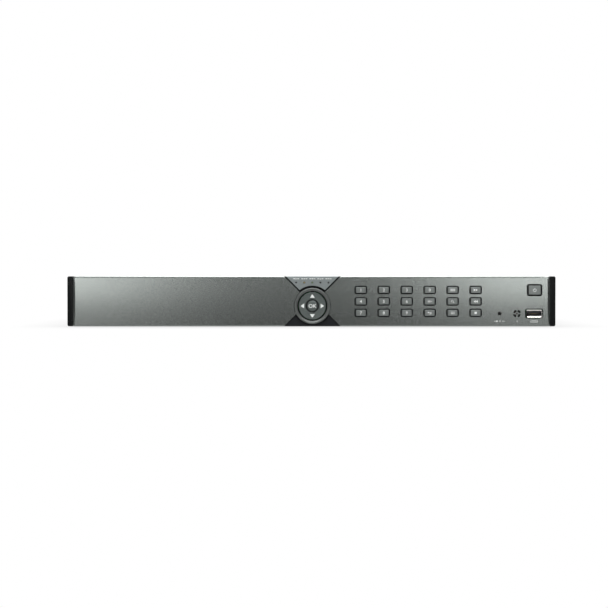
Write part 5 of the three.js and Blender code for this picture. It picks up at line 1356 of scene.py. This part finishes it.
FRAME_WIDTH = 0.5472  # metres across the picture, at the front of the panel
DISTANCE = 1.5
EYE_HEIGHT = 0.0465
AIM_X = -0.0067
AIM_Z = 0.0209


def only_camera(tree, seen, other):
    """Mixes the shader that the camera sees with the one that light and reflections meet."""
    path = add_node(tree, "LightPath")
    mix = add_node(tree, "MixShader")
    tree.links.new(path.outputs["Is Camera Ray"], mix.inputs["Fac"])
    tree.links.new(other.outputs[0], mix.inputs[1])
    tree.links.new(seen.outputs[0], mix.inputs[2])
    return mix


def make_world():
    world = bpy.data.worlds.new("studio")
    world.use_nodes = True
    tree = world.node_tree
    tree.nodes.clear()
    seen = add_node(tree, "Background", Color=(1, 1, 1, 1))
    other = add_node(tree, "Background", Color=(0.9, 0.95, 1, 1), Strength=0.03)
    output = add_node(tree, "OutputWorld")
    tree.links.new(only_camera(tree, seen, other).outputs[0], output.inputs["Surface"])
    bpy.context.scene.world = world


def make_floor():
    mesh = bpy.data.meshes.new("floor")
    far = 6  # metres from the middle to each edge
    mesh.from_pydata([(-far, -far, 0), (far, -far, 0), (far, far, 0), (-far, far, 0)], [], [(0, 1, 2, 3)])
    floor = bpy.data.objects.new("floor", mesh)
    bpy.context.scene.collection.objects.link(floor)
    material = bpy.data.materials.new("pale_floor")
    material.use_nodes = True
    tree = material.node_tree
    tree.nodes.clear()
    join = tree.links.new
    # The floor that the camera sees is white emission, dimmed by ambient occlusion near the recorder: a
    # painted contact shadow.
    pale_with_painted_shadow = add_node(tree, "Emission")
    painted_contact_shadow_ao = add_node(tree, "AmbientOcclusion", Distance=0.06)
    span = add_node(tree, "MapRange", To_Min=0.72, To_Max=1.0)
    join(painted_contact_shadow_ao.outputs["AO"], span.inputs["Value"])
    join(span.outputs["Result"], pale_with_painted_shadow.inputs["Strength"])
    low = add_node(tree, "BsdfAnisotropic", Color=(0.17, 0.17, 0.17, 1), Roughness=0.1)  # at a grazing angle
    steep = add_node(tree, "BsdfDiffuse", Color=(0.6, 0.6, 0.6, 1))
    facing = add_node(tree, "LayerWeight", Blend=0.5)
    turn = add_node(tree, "MapRange", From_Min=0.64, From_Max=0.72)
    join(facing.outputs["Facing"], turn.inputs["Value"])
    dim = add_node(tree, "MixShader")
    join(turn.outputs["Result"], dim.inputs["Fac"])
    join(steep.outputs[0], dim.inputs[1])
    join(low.outputs[0], dim.inputs[2])
    output = add_node(tree, "OutputMaterial")
    tree.links.new(only_camera(tree, pale_with_painted_shadow, dim).outputs[0], output.inputs["Surface"])
    mesh.materials.append(material)


def softbox(name, place, aim, width, height, power):
    light = bpy.data.lights.new(name, "AREA")
    light.shape = "RECTANGLE"
    light.size = width
    light.size_y = height
    light.energy = power
    made = bpy.data.objects.new(name, light)
    made.location = place
    made.rotation_euler = (Vector(aim) - Vector(place)).to_track_quat("-Z", "Y").to_euler()
    made.visible_camera = False
    bpy.context.scene.collection.objects.link(made)


def make_camera():
    camera = bpy.data.cameras.new("camera")
    camera.sensor_width = 36
    camera.lens = camera.sensor_width * DISTANCE / FRAME_WIDTH
    made = bpy.data.objects.new("camera", camera)
    eye = Vector((AIM_X, FRONT - DISTANCE, EYE_HEIGHT))
    aim = Vector((AIM_X, FRONT, AIM_Z))
    made.location = eye
    made.rotation_euler = (aim - eye).to_track_quat("-Z", "Y").to_euler()
    bpy.context.scene.collection.objects.link(made)
    bpy.context.scene.camera = made


# name, place, the point it faces, width, height and power
SOFTBOXES = [
    ("left_box", (-0.56, -1.75, 0.29), (-0.1, FRONT, 0.02), 0.5, 0.56, 3.1),
    ("right_box", (0.42, -1.75, 0.29), (0.1, FRONT, 0.02), 0.2, 0.56, 1.8),
    ("front_box", (0, -1.75, 0.55), (0, FRONT, 0.02), 2.2, 0.5, 0.25),
    ("high_box", (0, -0.85, 1.3), (0, FRONT, 0.02), 1.2, 0.6, 19),
    ("top_box", (0, -0.1, 1.4), (0, 0, 0.02), 1.6, 0.8, 12),
    ("back_box", (0.3, 1.8, 1.2), (0, 0.1, 0.02), 1.6, 1.0, 18),
    ("left_side_box", (-1.9, 0.3, 0.7), (0, 0, 0.02), 1.0, 0.8, 9),
    ("right_side_box", (1.9, 0.3, 0.7), (0, 0, 0.02), 1.0, 0.8, 9),
]

make_world()
make_floor()
for softbox_values in SOFTBOXES:
    softbox(*softbox_values)
make_camera()
bpy.context.scene.view_settings.view_transform = "Standard"
